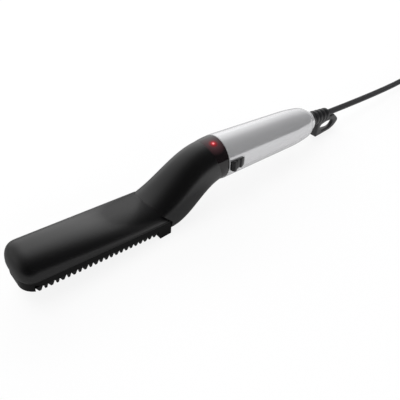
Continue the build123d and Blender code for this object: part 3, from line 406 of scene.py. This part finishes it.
class Sketch:
    """A mesh under construction in the handle's own frame, in millimetres."""

    # How near two points are that count as one
    same_point: float = 0.001

    def __init__(self) -> None:
        """Starts an empty mesh."""
        self.mesh = bmesh.new()

    def loop(self, points: Iterable[tuple[float, float]], close: bool = True) -> list[bmesh.types.BMEdge]:
        """Draws a line of edges in the X-Z plane.

        Args:
            points: (x, z) points.
            close: whether the line closes.

        Returns:
            Its edges.
        """
        verts = [self.mesh.verts.new((x, 0.0, z)) for x, z in points]
        pairs = list(zip(verts, verts[1:] + verts[:1] if close else verts[1:]))
        return [self.mesh.edges.new(pair) for pair in pairs]

    def spin(
        self, edges: list[bmesh.types.BMEdge], height: float, angle: float = 2 * math.pi, steps: int = 64
    ) -> None:
        """Turns a line of edges about the handle's axis into a skin.

        Args:
            edges: the line.
            height: the axis's height.
            angle: how far it turns, in radians.
            steps: the number of steps.
        """
        geom = edges + list({vert for edge in edges for vert in edge.verts})
        full = angle >= 2 * math.pi
        bmesh.ops.spin(
            self.mesh,
            geom=geom,
            cent=(0, 0, height),
            axis=(1, 0, 0),
            angle=angle,
            steps=steps,
            use_merge=full,
        )
        bmesh.ops.remove_doubles(self.mesh, verts=self.mesh.verts[:], dist=self.same_point)

    def soften(
        self,
        least_angle: float,
        offset: float,
        segments: int = 2,
        where: Callable[[Vector], bool] = lambda point: True,
    ) -> None:
        """Bevels the sharp edges.

        Args:
            least_angle: how many degrees an edge turns by at least.
            offset: the bevel's width.
            segments: the number of its steps.
            where: whether an edge with both its ends at such points is bevelled.
        """
        sharp = [
            edge
            for edge in self.mesh.edges
            if len(edge.link_faces) == 2
            and edge.calc_face_angle(0.0) > math.radians(least_angle)
            and all(where(vert.co) for vert in edge.verts)
        ]
        self.bevel(sharp, offset, segments, "EDGES")

    def bevel(self, geom: list[object], offset: float, segments: int, affect: str) -> None:
        """Bevels edges or corners.

        Args:
            geom: the edges or vertices.
            offset: the bevel's width.
            segments: the number of its steps.
            affect: EDGES or VERTICES.
        """
        bmesh.ops.bevel(
            self.mesh,
            geom=geom,
            offset=offset,
            segments=segments,
            profile=0.5,
            affect=affect,
            material=-1,
            clamp_overlap=True,
        )

    def add(self, other: "Sketch") -> None:
        """Takes over another sketch's mesh.

        Args:
            other: the sketch, which is used up.
        """
        data = bpy.data.meshes.new("part")
        other.mesh.to_mesh(data)
        other.mesh.free()
        self.mesh.from_mesh(data)
        bpy.data.meshes.remove(data)

    def finish(
        self,
        name: str,
        place: "HandleFrame",
        body: Body,
        material: bpy.types.Material,
        smooth_angle: float = 35.0,
    ) -> bpy.types.Object:
        """Makes the object, in its place in the row's frame.

        Args:
            name: the piece's name.
            place: the handle's frame.
            body: the body that it rides on.
            material: its material.
            smooth_angle: edges sharper than this many degrees stay sharp.

        Returns:
            The object.
        """
        bmesh.ops.transform(self.mesh, matrix=place.matrix_mm(), verts=self.mesh.verts[:])
        bmesh.ops.recalc_face_normals(self.mesh, faces=self.mesh.faces[:])
        data = bpy.data.meshes.new(name)
        self.mesh.to_mesh(data)
        self.mesh.free()
        data.materials.append(material)
        data.shade_smooth()
        data.set_sharp_from_angle(angle=math.radians(smooth_angle))
        piece = bpy.data.objects.new(name, data)
        bpy.context.scene.collection.objects.link(piece)
        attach(piece, body.value)
        return piece


def report(piece: bpy.types.Object) -> None:
    """Logs a piece's name and size."""
    log.info("%s: %s mm", piece.name, [round(v / MM, 1) for v in piece.dimensions])


@dataclass
class HandleFrame:
    """The handle's own frame: x along its axis from the sleeve's front edge, z away from the comb's teeth."""

    joint: str = "cord_swivel"
    joint_x: float = 95.0
    axis_height: float = 33.5

    def matrix(self) -> Matrix:
        """The frame's place in the row's frame, from the swivel's joint, which lies on the handle's axis.

        Returns:
            The matrix for points in metres.
        """
        joint = next(j for j in frame["joints"] if j["name"] == self.joint)
        along = Vector(joint["axis"]).normalized()
        across = Vector((0.0, 1.0, 0.0))
        up = along.cross(across)
        origin = Vector(joint["pos_m"]) - along * self.joint_x * MM - up * self.axis_height * MM
        turn = Matrix((along, across, up)).transposed()
        return Matrix.Translation(origin) @ turn.to_4x4()

    def matrix_mm(self) -> Matrix:
        """The same place for points in millimetres."""
        return self.matrix() @ Matrix.Scale(MM, 4)

    def point(self, x: float, y: float, z: float) -> Vector:
        """A point given in millimetres in the handle's frame, in the row's frame in metres."""
        return self.matrix() @ Vector((x * MM, y * MM, z * MM))


def dress(finish: Moulded | Metal | SmokedRing, *nodes: str) -> None:
    """Gives CAD nodes a finish.

    Args:
        finish: the finish.
        nodes: the nodes' names.
    """
    material = finish.material()
    for name in nodes:
        node = frame["nodes"][name]
        for slot in node.material_slots:
            slot.material = material
        report(node)


# Sub-assemblies


@dataclass
class PaddleCover:
    """The paddle's domed shell: a rounded section drawn along the paddle and drawn in at its nose."""

    place: HandleFrame
    finish: Moulded
    tip_x: float = -149.5
    rear_x: float = -44.0
    rim_height: float = 9.6
    crown_height: float = 22.7
    half_width: float = 17.0
    squareness: float = 2.45
    # The nose's length and the power of its curve, from above and from the side
    plan_nose: tuple[float, float] = (11.0, 2.8)
    side_nose: tuple[float, float] = (9.5, 2.3)
    section_steps: int = 40
    nose_steps: int = 14
    # How far from the tip the last section lies
    blunt_end: float = 0.03
    wall: float = 2.0
    # Where the cover meets the neck, as two (x, z) points
    parting: tuple[tuple[float, float], ...] = ((-47.8, 9.6), (-61.3, 22.2))
    smooth_angle: float = 50.0

    def share(self, distance: float, nose: tuple[float, float]) -> float:
        """The share of the full width or height that the nose has.

        Args:
            distance: the distance from the nose's tip.
            nose: the nose's length and the power of its curve.

        Returns:
            The share.
        """
        length, power = nose
        rest = max(0.0, 1.0 - distance / length)
        return (1.0 - rest**power) ** (1.0 / power)

    def section(self, sketch: Sketch) -> list[bmesh.types.BMEdge]:
        """Draws the section at the cover's rear.

        Args:
            sketch: the sketch that it goes into.

        Returns:
            Its edges.
        """
        power = 2.0 / self.squareness
        rise = self.crown_height - self.rim_height
        verts = []
        for k in range(self.section_steps + 1):
            angle = math.pi * k / self.section_steps
            across, up = math.cos(angle), math.sin(angle)
            y = self.half_width * math.copysign(abs(across) ** power, across)
            verts.append(sketch.mesh.verts.new((self.rear_x, y, self.rim_height + rise * abs(up) ** power)))
        return [sketch.mesh.edges.new(pair) for pair in zip(verts, verts[1:])]

    def build(self) -> None:
        """Builds the cover."""
        sketch = Sketch()
        edges = self.section(sketch)
        base = Matrix.Translation((0.0, 0.0, -self.rim_height))
        depth = self.plan_nose[0]
        turns = [math.pi / 2 * k / self.nose_steps for k in range(self.nose_steps)]
        distances = [depth * (1.0 - math.sin(turn)) for turn in turns]
        last_x, last_wide, last_high = self.rear_x, 1.0, 1.0
        for distance in [*distances, self.blunt_end]:
            wide, high = self.share(distance, self.plan_nose), self.share(distance, self.side_nose)
            grown = bmesh.ops.extrude_edge_only(sketch.mesh, edges=edges)["geom"]
            edges = [item for item in grown if isinstance(item, bmesh.types.BMEdge)]
            verts = [item for item in grown if isinstance(item, bmesh.types.BMVert)]
            x = self.tip_x + distance
            bmesh.ops.translate(sketch.mesh, vec=(x - last_x, 0.0, 0.0), verts=verts)
            growth = (1.0, wide / last_wide, high / last_high)
            bmesh.ops.scale(sketch.mesh, vec=growth, space=base, verts=verts)
            last_x, last_wide, last_high = x, wide, high
        tip = bmesh.ops.contextual_create(sketch.mesh, geom=edges)
        bmesh.ops.triangulate(sketch.mesh, faces=tip["faces"])
        (low_x, low_z), (high_x, high_z) = self.parting
        slope = Vector((high_z - low_z, 0.0, low_x - high_x))
        bmesh.ops.bisect_plane(
            sketch.mesh,
            geom=sketch.mesh.verts[:] + sketch.mesh.edges[:] + sketch.mesh.faces[:],
            plane_co=(low_x, 0.0, low_z),
            plane_no=slope,
            clear_outer=True,
        )
        material = self.finish.material()
        piece = sketch.finish("domed_paddle_cover", self.place, Body.HANDLE, material, self.smooth_angle)
        shell = piece.modifiers.new("wall", "SOLIDIFY")
        shell.thickness, shell.offset = self.wall * MM, -1.0
        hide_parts("head_cover")
        report(piece)


@dataclass
class Head:
    """The paddle's cover, the comb and what heats it."""

    place: HandleFrame
    shell: Moulded = Moulded("satin_black_shell", (0.0020, 0.0019, 0.0021), roughness=0.30, gloss=1.0)
    comb: Moulded = Moulded("comb_plastic", (0.0022, 0.0021, 0.0022), roughness=0.30, gloss=0.24)
    plate: Moulded = Moulded("coated_plate", (0.05, 0.047, 0.05), roughness=0.45, metallic=0.8)
    ceramic: Moulded = Moulded("ceramic", (0.78, 0.76, 0.70), roughness=0.7)
    film: Moulded = Moulded("insulating_film", (0.62, 0.30, 0.05), roughness=0.15, mottle=0.05)
    steel: Metal = Metal("spring_steel", (0.56, 0.56, 0.57), roughness=0.3)
    screws: Metal = Metal("screw_steel", (0.46, 0.46, 0.48), roughness=0.35)
    bead: Moulded = Moulded("sensor_glass", (0.35, 0.10, 0.03), roughness=0.1)

    def build(self) -> None:
        """Builds the cover and dresses the head's nodes."""
        PaddleCover(self.place, self.shell).build()
        dress(self.shell, "neck_shell", "neck_underside")
        dress(self.comb, "comb_frame")
        dress(self.plate, "heating_plate")
        dress(self.ceramic, "ceramic_heater", "dropping_resistor")
        dress(self.film, "heater_film")
        dress(self.steel, "heater_clamp", "thermal_fuse")
        dress(self.screws, "head_screws", "neck_screws", "core_screws")
        dress(self.bead, "thermistor")


@dataclass
class Handle:
    """The sleeve, the indicator ring, the collar and what the handle holds."""

    place: HandleFrame
    # The lamp behind the ring, turned by so many degrees from the top towards the near side
    lamp_x: float = -6.3
    lamp_turn: float = 15.5
    lamp_radius: float = 15.2
    sleeve: Metal = Metal(
        "satin_sleeve", (0.80, 0.80, 0.81), roughness=0.15, metallic=0.68, grain_depth=0.000002
    )
    collar: Metal = Metal(
        "bright_collar", (0.88, 0.88, 0.89), roughness=0.12, metallic=0.60, grain_depth=0.000001
    )
    core: Moulded = Moulded("inner_plastic", (0.09, 0.09, 0.10), roughness=0.5)
    board: Moulded = Moulded("board_laminate", (0.03, 0.14, 0.05), roughness=0.35, coat=0.3)
    capacitor: Moulded = Moulded("component_plastic", (0.55, 0.40, 0.06), roughness=0.25)
    package: Moulded = Moulded("package_plastic", (0.02, 0.02, 0.02), roughness=0.45)
    leads: Moulded = Moulded("lead_insulation", (0.50, 0.05, 0.04), roughness=0.45)
    bulb: Moulded = Moulded("lamp_epoxy", (0.60, 0.03, 0.03), roughness=0.1)
    bush: Moulded = Moulded("bush_plastic", (0.70, 0.69, 0.66), roughness=0.4)
    brass: Metal = Metal("contact_brass", (0.80, 0.58, 0.25), roughness=0.2)

    def build(self) -> None:
        """Dresses the handle's nodes."""
        turn = math.radians(self.lamp_turn)
        y, z = -self.lamp_radius * math.sin(turn), self.place.axis_height + self.lamp_radius * math.cos(turn)
        lamp = tuple(self.place.point(self.lamp_x, y, z))
        dress(self.sleeve, "handle_sleeve")
        # the lamp's glow is painted on the ring as emission around this point; the lamp itself doesn't glow
        dress(SmokedRing("smoked_ring", (0.006, 0.0045, 0.005), lamp), "indicator_ring")
        dress(self.collar, "rear_collar")
        dress(self.core, "core_lower", "core_upper", "lamp_holder")
        dress(self.board, "control_board")
        dress(self.capacitor, "film_capacitor")
        dress(self.package, "power_triac", "switch_body")
        dress(self.leads, "heater_leads")
        dress(self.bulb, "indicator_lamp")
        dress(self.bush, "switch_lever", "swivel_bush", "swivel_rotor")
        dress(self.brass, "contact_ring", "contact_pin", "contact_springs")


@dataclass
class Switch:
    """The thumb piece on the sleeve's side: a tall lip in front, two lower ridges behind it and a stem."""

    place: HandleFrame
    front_x: float = 0.4
    rear_x: float = 13.0
    # How far it reaches above and below the axis's height
    rise: float = 4.4
    drop: float = 2.5
    inner_radius: float = 16.35
    plate_radius: float = 17.35
    lip_radius: float = 19.45
    lip_lean: float = 1.6
    lip_width: float = 3.4
    ridge_radius: float = 18.05
    ridge_slope: float = 0.5
    ridge_width: float = 1.0
    ridge_pitch: float = 3.6
    ridge_count: int = 2
    tail_radius: float = 16.75
    stem: tuple[float, float] = (4.2, 7.4)
    stem_half_height: float = 1.5
    stem_end: float = 10.0
    turn_steps: int = 6
    sharp_angle: float = 25.0
    edge: float = 0.16
    plastic: Moulded = Moulded("switch_plastic", (0.006, 0.006, 0.0065), roughness=0.20, gloss=0.7)

    def outline(self) -> list[tuple[float, float]]:
        """The thumb piece's section along the sleeve.

        Returns:
            Its (x, radius) points.
        """
        x = self.front_x
        points = [
            (x, self.inner_radius),
            (x, self.plate_radius),
            (x + self.lip_lean, self.lip_radius),
            (x + self.lip_width, self.lip_radius),
        ]
        for k in range(self.ridge_count):
            foot = x + self.lip_width + k * self.ridge_pitch + self.ridge_slope
            top = foot + 2 * self.ridge_slope
            points += [
                (foot, self.plate_radius),
                (foot + self.ridge_slope, self.plate_radius),
                (top, self.ridge_radius),
                (top + self.ridge_width, self.ridge_radius),
            ]
        return points + [(self.rear_x, self.tail_radius), (self.rear_x, self.inner_radius)]

    def build(self) -> None:
        """Builds the thumb piece."""
        height = self.place.axis_height
        sketch = Sketch()
        edges = sketch.loop((x, height + radius) for x, radius in self.outline())
        start = math.pi / 2 - math.asin(self.rise / self.plate_radius)
        stop = math.pi / 2 + math.asin(self.drop / self.plate_radius)
        axis = Matrix.Translation((0, 0, height))
        turn = axis @ Matrix.Rotation(start, 4, "X") @ axis.inverted()
        bmesh.ops.transform(sketch.mesh, matrix=turn, verts=sketch.mesh.verts[:])
        sketch.spin(edges, height, stop - start, self.turn_steps)
        bmesh.ops.holes_fill(sketch.mesh, edges=sketch.mesh.edges[:], sides=0)
        bmesh.ops.recalc_face_normals(sketch.mesh, faces=sketch.mesh.faces[:])
        sketch.soften(self.sharp_angle, self.edge)
        stem = Sketch()
        length, reach = self.stem[1] - self.stem[0], self.plate_radius - self.stem_end
        middle = Vector((sum(self.stem) / 2, -(self.plate_radius + self.stem_end) / 2, height))
        size = Matrix.Diagonal((length, reach - self.edge, 2 * self.stem_half_height, 1.0))
        bmesh.ops.create_cube(stem.mesh, size=1.0, matrix=Matrix.Translation(middle) @ size)
        sketch.add(stem)
        piece = sketch.finish("switch_thumb_piece", self.place, Body.SWITCH, self.plastic.material())
        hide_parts("switch_knob")
        report(piece)


@dataclass
class StrainRelief:
    """The ribbed strain relief: a turned barrel with grooves, deep at the sides, and a wedge with an eye."""

    place: HandleFrame
    rubber: Moulded = Moulded("relief_rubber", (0.016, 0.016, 0.017), roughness=0.30, gloss=0.75)
    # The barrel: its end inside the collar and its ribs' front and end, all as (x, radius) points
    held: tuple[tuple[float, float], ...] = (
        (92.4, 0.0),
        (92.4, 6.6),
        (94.4, 6.6),
        (94.4, 5.5),
        (99.8, 5.5),
    )
    front: tuple[float, float] = (99.8, 6.4)
    end: tuple[float, float] = (122.6, 4.9)
    end_edge: float = 0.6
    first_groove: float = 3.6
    groove_pitch: float = 4.6
    groove_count: int = 4
    groove_width: float = 2.5
    groove_flank: float = 0.3
    groove_depth: float = 1.1
    side_share: float = 0.66
    rib_angle: float = 18.0
    rib_edge: float = 0.28
    # The wedge: its half thickness at two places along it, and its rim and eye as (x, z) points
    wedge: tuple[tuple[float, float], ...] = ((110.6, 3.6), (131.5, 1.7))
    rim: tuple[tuple[float, float], ...] = (
        (110.6, 30.7),
        (110.6, 16.0),
        (120.5, 16.2),
        (131.5, 16.5),
        (136.6, 18.7),
        (140.1, 22.2),
        (140.4, 24.8),
        (138.0, 27.2),
        (133.5, 30.7),
    )
    eye: tuple[tuple[float, float], ...] = (
        (116.4, 25.9),
        (114.2, 22.8),
        (118.4, 19.5),
        (129.4, 19.4),
        (132.2, 21.1),
        (133.8, 23.7),
        (132.0, 25.9),
        (123.9, 26.7),
    )
    corner: float = 1.1
    corner_steps: int = 4
    wedge_angle: float = 60.0
    wedge_edge: float = 0.9
    wedge_edge_steps: int = 3

    def radius(self, x: float) -> float:
        """The barrel's outer radius at a place along it."""
        (x0, r0), (x1, r1) = self.front, self.end
        return r0 + (r1 - r0) * (x - x0) / (x1 - x0)

    def barrel(self) -> Sketch:
        """The turned barrel, whose groove floors are drawn in at the sides.

        Returns:
            Its sketch.
        """
        height = self.place.axis_height
        profile = [*self.held, self.front]
        for k in range(self.groove_count):
            x = self.front[0] + self.first_groove + k * self.groove_pitch
            floor = self.radius(x) - self.groove_depth
            profile += [
                (x, self.radius(x)),
                (x + self.groove_flank * self.groove_width, floor),
                (x + (1.0 - self.groove_flank) * self.groove_width, floor),
                (x + self.groove_width, self.radius(x + self.groove_width)),
            ]
        (x, radius), edge = self.end, self.end_edge
        profile += [(x - edge, radius), (x, radius - edge), (x, 0.0)]
        sketch = Sketch()
        line = sketch.loop(((x, height + radius) for x, radius in profile), close=False)
        sketch.spin(line, height)
        start = self.front[0] + self.first_groove
        floors = [
            vert
            for vert in sketch.mesh.verts
            if start < vert.co.x < self.end[0] - 2 * self.end_edge
            and math.hypot(vert.co.y, vert.co.z - height) < self.radius(vert.co.x) - self.groove_depth / 2
        ]
        centre = Matrix.Translation((0, 0, -height))
        bmesh.ops.scale(sketch.mesh, vec=(1.0, self.side_share, 1.0), space=centre, verts=floors)
        bmesh.ops.recalc_face_normals(sketch.mesh, faces=sketch.mesh.faces[:])
        sketch.soften(self.rib_angle, self.rib_edge, where=lambda point: point.x > start - self.rib_edge)
        return sketch

    def half_thickness(self, x: float) -> float:
        """Half the wedge's thickness.

        Args:
            x: the place along the wedge.

        Returns:
            Half the thickness there.
        """
        (x0, t0), (x1, t1) = self.wedge
        share = min(1.0, max(0.0, (x - x0) / (x1 - x0)))
        return t0 + (t1 - t0) * share

    def loop(self) -> Sketch:
        """The wedge under the barrel, bridged between its rim and its eye, extruded and softened.

        Returns:
            Its sketch.
        """
        sketch = Sketch()
        for outline in (self.rim, self.eye):
            sketch.loop(outline)
        sketch.bevel(sketch.mesh.verts[:], self.corner, self.corner_steps, "VERTICES")
        bmesh.ops.bridge_loops(sketch.mesh, edges=sketch.mesh.edges[:])
        near = sketch.mesh.verts[:]
        grown = bmesh.ops.extrude_face_region(sketch.mesh, geom=sketch.mesh.faces[:])["geom"]
        far = [item for item in grown if isinstance(item, bmesh.types.BMVert)]
        for side, verts in ((-1, near), (1, far)):
            for vert in verts:
                vert.co.y = side * self.half_thickness(vert.co.x)
        bmesh.ops.recalc_face_normals(sketch.mesh, faces=sketch.mesh.faces[:])
        sketch.soften(self.wedge_angle, self.wedge_edge, self.wedge_edge_steps)
        return sketch

    def build(self) -> None:
        """Builds the strain relief."""
        sketch = self.barrel()
        sketch.add(self.loop())
        piece = sketch.finish("ribbed_strain_relief", self.place, Body.CORD_END, self.rubber.material())
        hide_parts("strain_relief")
        report(piece)


@dataclass
class CordEnd:
    """The mains cord with its hank, the hank's tie and the plug."""

    place: HandleFrame
    outlet_x: float = 122.6
    jacket: Moulded = Moulded("cord_jacket", (0.034, 0.034, 0.036), roughness=0.36, grain_scale=900.0)
    tie: Moulded = Moulded("tie_rubber", (0.016, 0.016, 0.017), roughness=0.6)
    pins: Metal = Metal("pin_nickel", (0.72, 0.71, 0.68), roughness=0.18)
    width: float = 5.0
    thickness: float = 3.2
    # The section: its points, how square it is, the thickness left in its groove and the groove's width,
    # as shares of half the thickness and half the width
    section_points: int = 28
    squareness: float = 0.75
    groove: float = 0.62
    groove_width: float = 0.20
    # How it is turned about its own line at the outlet and from there on, in radians
    outlet_tilt: float = 0.8
    flat_tilt: float = math.pi / 2
    # Its whole length in metres
    length: float = 1.6231
    # Route of the free stretch, in the row's frame, in metres
    bend: Point = (0.263, 0.0, 0.00483)
    lead_in: float = 0.301
    # The hank in millimetres: where its runs start, how they close in on its middle, and its layers
    run_start: float = 331.0
    run_length: float = 86.0
    run_gap: float = 0.6
    runs: int = 10
    runs_per_layer: int = 3
    middle_y: float = 1.5
    fold_radius: float = 15.0
    waist: float = 5.0
    layer_step: float = 5.5
    waist_lift: float = 1.35
    fold_lead: float = 6.0
    plug_height: float = 30.9

    def build(self) -> None:
        """Builds the cord and dresses the rest."""
        dress(self.tie, "hank_tie")
        dress(self.jacket, "plug_body")
        dress(self.pins, "plug_pins")
        self.cord()

    def run_offset(self, k: int) -> float:
        """How far a run lies from the hank's middle line.

        Args:
            k: the run's number.

        Returns:
            The distance in millimetres.
        """
        turn = 2 * math.atan(self.waist / (self.run_length / 2))
        step = (self.width + self.run_gap) / math.cos(turn)
        per_layer = self.runs_per_layer
        return self.fold_radius - step / 4 + step * abs((k + 1) % (2 * per_layer) - per_layer) / 2

    def half_turn(self, start: Vector, end: Vector, outward: Vector) -> list[Vector]:
        """The four route points of a half turn, on the corners of the octagon round it.

        Args:
            start: where the turn starts.
            end: where it ends, straight across.
            outward: the way it bulges.

        Returns:
            The points.
        """
        centre, radius = (start + end) / 2, (end - start).length / 2
        side = (start - end).normalized()
        corner = math.tan(math.pi / 8)
        ways = ((corner, 1.0), (1.0, corner), (1.0, -corner), (corner, -1.0))
        return [centre + radius * (out * outward + across * side) for out, across in ways]

    def hank_route(self) -> list[Vector]:
        """The hank's route, with four points on each run and four on each half turn.

        Returns:
            The points in millimetres.
        """
        points = []
        base, per_layer = self.width / 2, self.runs_per_layer
        layer, last = 0, None
        near, far = self.run_start, self.run_start + self.run_length
        for k in range(self.runs):
            side = 1 if k % 2 == 0 else -1
            y = self.middle_y + side * self.run_offset(k)
            z0 = base + layer * self.layer_step
            layer += 1 if k % per_layer == per_layer - 1 else 0
            z1 = base + layer * self.layer_step
            x0, x1 = (near, far) if side > 0 else (far, near)
            start = Vector((x0, y, z0))
            if last is not None:
                points += self.half_turn(last, start, Vector((-side, 0, 0)))
            waist_z = (z0 + z1) / 2 + self.waist_lift
            for share, inward, z in ((1, 0, z0), (3, 1, waist_z), (5, 1, waist_z), (7, 0, z1)):
                x = x0 + (x1 - x0) * share / 8
                points.append(Vector((x, y - side * self.waist * inward, z)))
            last = Vector((x1, y, z1))
        lead = last - Vector((self.fold_lead, 0, 0))
        rise = self.plug_height - lead.z
        back = lead + Vector((0, math.sqrt(4 * self.fold_radius**2 - rise**2), rise))
        points += self.half_turn(lead, back, Vector((-1, 0, 0)))
        return points + [back + Vector((self.fold_lead, 0, 0))]

    def profile(self) -> bpy.types.Object:
        """The flat twin cord's section.

        Returns:
            A closed curve for the cord's bevel.
        """
        curve = bpy.data.curves.new("cord_section", "CURVE")
        curve.dimensions = "2D"
        spline = curve.splines.new("POLY")
        spline.points.add(self.section_points - 1)
        half_width, half_thickness = self.width / 2 * MM, self.thickness / 2 * MM
        for k, point in enumerate(spline.points):
            angle = -2 * math.pi * k / self.section_points
            x, rise = math.cos(angle), math.sin(angle)
            y = math.copysign(abs(rise) ** self.squareness, rise)
            dip = 1.0 - (1.0 - self.groove) * math.exp(-((x / self.groove_width) ** 2))
            point.co = (x * half_width, y * half_thickness * dip, 0.0, 1.0)
        spline.use_cyclic_u = True
        return bpy.data.objects.new("cord_section", curve)

    def cord(self) -> None:
        """Builds the cord, from its outlet to the plug, as one curve."""
        outlet = self.place.point(self.outlet_x, 0.0, self.place.axis_height)
        first_y = self.middle_y + self.run_offset(0)
        free = [outlet, Vector(self.bend), Vector((self.lead_in, first_y * MM, self.width / 2 * MM))]
        points = free + [p * MM for p in self.hank_route()]
        curve = bpy.data.curves.new("mains_cord", "CURVE")
        curve.dimensions = "3D"
        curve.twist_mode = "Z_UP"
        spline = curve.splines.new("NURBS")
        spline.points.add(len(points) - 1)
        for k, (point, place) in enumerate(zip(spline.points, points)):
            point.co = (*place, 1.0)
            point.tilt = self.outlet_tilt if k < 2 else self.flat_tilt
        spline.order_u = 3
        spline.use_endpoint_u = True
        curve.resolution_u = 10
        curve.bevel_mode = "OBJECT"
        curve.bevel_object = self.profile()
        curve.use_fill_caps = True
        curve.materials.append(self.jacket.material())
        piece = bpy.data.objects.new("mains_cord", curve)
        bpy.context.scene.collection.objects.link(piece)
        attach(piece, Body.CORD_END.value)
        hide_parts("power_cord", "cord_hank")
        report(piece)


# Studio


@dataclass
class Softbox:
    """A rectangular lamp that points at a spot on the object and isn't mirrored in it."""

    name: str
    place: Point
    target: Point
    size: tuple[float, float]
    power: float

    def build(self) -> None:
        """Adds the lamp."""
        data = bpy.data.lights.new(self.name, "AREA")
        data.shape = "RECTANGLE"
        data.size, data.size_y = self.size
        data.energy = self.power
        lamp = bpy.data.objects.new(self.name, data)
        lamp.visible_glossy = False
        lamp.location = self.place
        lamp.rotation_euler = (Vector(self.target) - Vector(self.place)).to_track_quat("-Z", "Y").to_euler()
        bpy.context.scene.collection.objects.link(lamp)


@dataclass
class Studio:
    """The camera, the pale floor, the surroundings and the lamps."""

    place: HandleFrame
    # The camera in the handle's frame, in metres and degrees, as fitted to the photograph
    camera_place: Point = (-0.197488, -0.206642, 0.212004)
    camera_turn: Point = (52.6276, -3.7931, -39.2880)
    lens: float = 43.2
    floor_size: float = 12.0
    floor_gap: float = 0.0003
    floor_colour: Colour = (0.80, 0.80, 0.80)
    # How much of the floor is a pure white glow, by the kind of ray that meets it
    seen_glow: float = 0.86
    mirrored_glow: float = 0.8
    through_glow: float = 0.7
    # Greys of the floor as the object mirrors it, from x or y = -0.25 m at 0 to 0.25 m at 1
    floor_along: tuple[tuple[float, float], ...] = ((0.50, 0.22), (0.545, 1.0))
    floor_across: tuple[tuple[float, float], ...] = ((0.44, 0.54), (0.62, 0.22), (1.0, 0.50))
    # Greys of the surroundings as the object mirrors them, from the way -x or -y at 0 to x or y at 1
    world_along: tuple[tuple[float, float], ...] = ((0.28, 0.38), (0.72, 1.0))
    world_across: tuple[tuple[float, float], ...] = (
        (0.08, 0.03),
        (0.32, 0.05),
        (0.52, 0.17),
        (0.70, 0.58),
        (0.86, 1.0),
    )
    world_fill: Colour = (0.45, 0.45, 0.46)
    lamps: list[Softbox] = field(
        default_factory=lambda: [
            Softbox("back_softbox", (0.50, 0.72, 0.48), (0.0, 0.0, 0.02), (1.3, 0.45), 7.0),
            Softbox("top_softbox", (-0.25, 0.15, 1.00), (0.0, 0.0, 0.02), (0.8, 0.5), 6.0),
            Softbox("front_softbox", (-0.10, -0.80, 0.30), (0.0, 0.0, 0.03), (1.0, 0.3), 2.5),
        ]
    )

    def build(self) -> None:
        """Builds the studio."""
        self.camera()
        self.floor()
        self.world()
        for lamp in self.lamps:
            lamp.build()
        bpy.context.scene.view_settings.view_transform = "Standard"

    def camera(self) -> None:
        """The camera, in the photograph's place."""
        data = bpy.data.cameras.new("camera")
        data.lens, data.sensor_width = self.lens, 36.0
        data.clip_start, data.clip_end = 0.01, 50.0
        camera = bpy.data.objects.new("camera", data)
        turn = Euler([math.radians(a) for a in self.camera_turn], "XYZ").to_matrix().to_4x4()
        camera.matrix_world = self.place.matrix() @ Matrix.Translation(self.camera_place) @ turn
        bpy.context.scene.collection.objects.link(camera)
        bpy.context.scene.camera = camera

    def floor(self) -> None:
        """A pale floor that the camera sees as white, but for the object's soft shadow."""
        mesh = bmesh.new()
        bmesh.ops.create_grid(mesh, x_segments=1, y_segments=1, size=self.floor_size / 2)
        data = bpy.data.meshes.new("floor")
        mesh.to_mesh(data)
        mesh.free()
        data.materials.append(self.floor_material())
        floor = bpy.data.objects.new("floor", data)
        floor.location.z = -self.floor_gap
        bpy.context.scene.collection.objects.link(floor)

    def floor_material(self) -> bpy.types.Material:
        """Paint that takes a shadow, mixed with a glow that is white to the eye and grey in the object.

        Returns:
            The material.
        """
        material = bpy.data.materials.new("floor")
        s = Shader(material)
        mirrored = s.ray("Is Glossy Ray")
        share = s.larger(s.ray("Is Camera Ray") * self.seen_glow, mirrored * self.mirrored_glow)
        share = s.larger(share, s.ray("Is Transmission Ray") * self.through_glow)
        coords = s.node("ShaderNodeTexCoord", output="Object")
        along = s.ramp(s.axis(coords, "X") * 2.0 + 0.5, *self.floor_along)
        across = s.ramp(s.axis(coords, "Y") * 2.0 + 0.5, *self.floor_across)
        paint = s.node("ShaderNodeBsdfDiffuse", inputs={"Color": self.floor_colour})
        shade = s.mix(mirrored, (1.0, 1.0, 1.0), along * across)
        glow = s.node("ShaderNodeEmission", inputs={"Color": shade, "Strength": 1.0})
        s.show("Material Output", s.node("ShaderNodeMixShader", inputs={0: share, 1: paint, 2: glow}))
        return material

    def world(self) -> None:
        """White surroundings that the object mirrors as pale behind it and dark in front, and a fill."""
        world = bpy.data.worlds.new("studio")
        bpy.context.scene.world = world
        s = Shader(world)
        way = s.node("ShaderNodeTexCoord", output="Generated")
        along = s.ramp(s.axis(way, "X") * 0.5 + 0.5, *self.world_along)
        across = s.ramp(s.axis(way, "Y") * 0.5 + 0.5, *self.world_across)
        mirrored = s.mix(along, (0.0, 0.0, 0.0), across)
        unseen = s.mix(s.ray("Is Glossy Ray"), self.world_fill, mirrored)
        clear = s.larger(s.ray("Is Camera Ray"), s.ray("Is Transmission Ray"))
        colour = s.mix(clear, unseen, (1.0, 1.0, 1.0))
        s.show("World Output", s.node("ShaderNodeBackground", inputs={"Color": colour, "Strength": 1.0}))


def main() -> None:
    """Builds the studio and every sub-assembly, and reports each piece."""
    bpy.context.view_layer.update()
    place = HandleFrame()
    Studio(place).build()
    StrainRelief(place).build()
    CordEnd(place).build()
    Head(place).build()
    Handle(place).build()
    Switch(place).build()


if __name__ == "__main__":
    main()
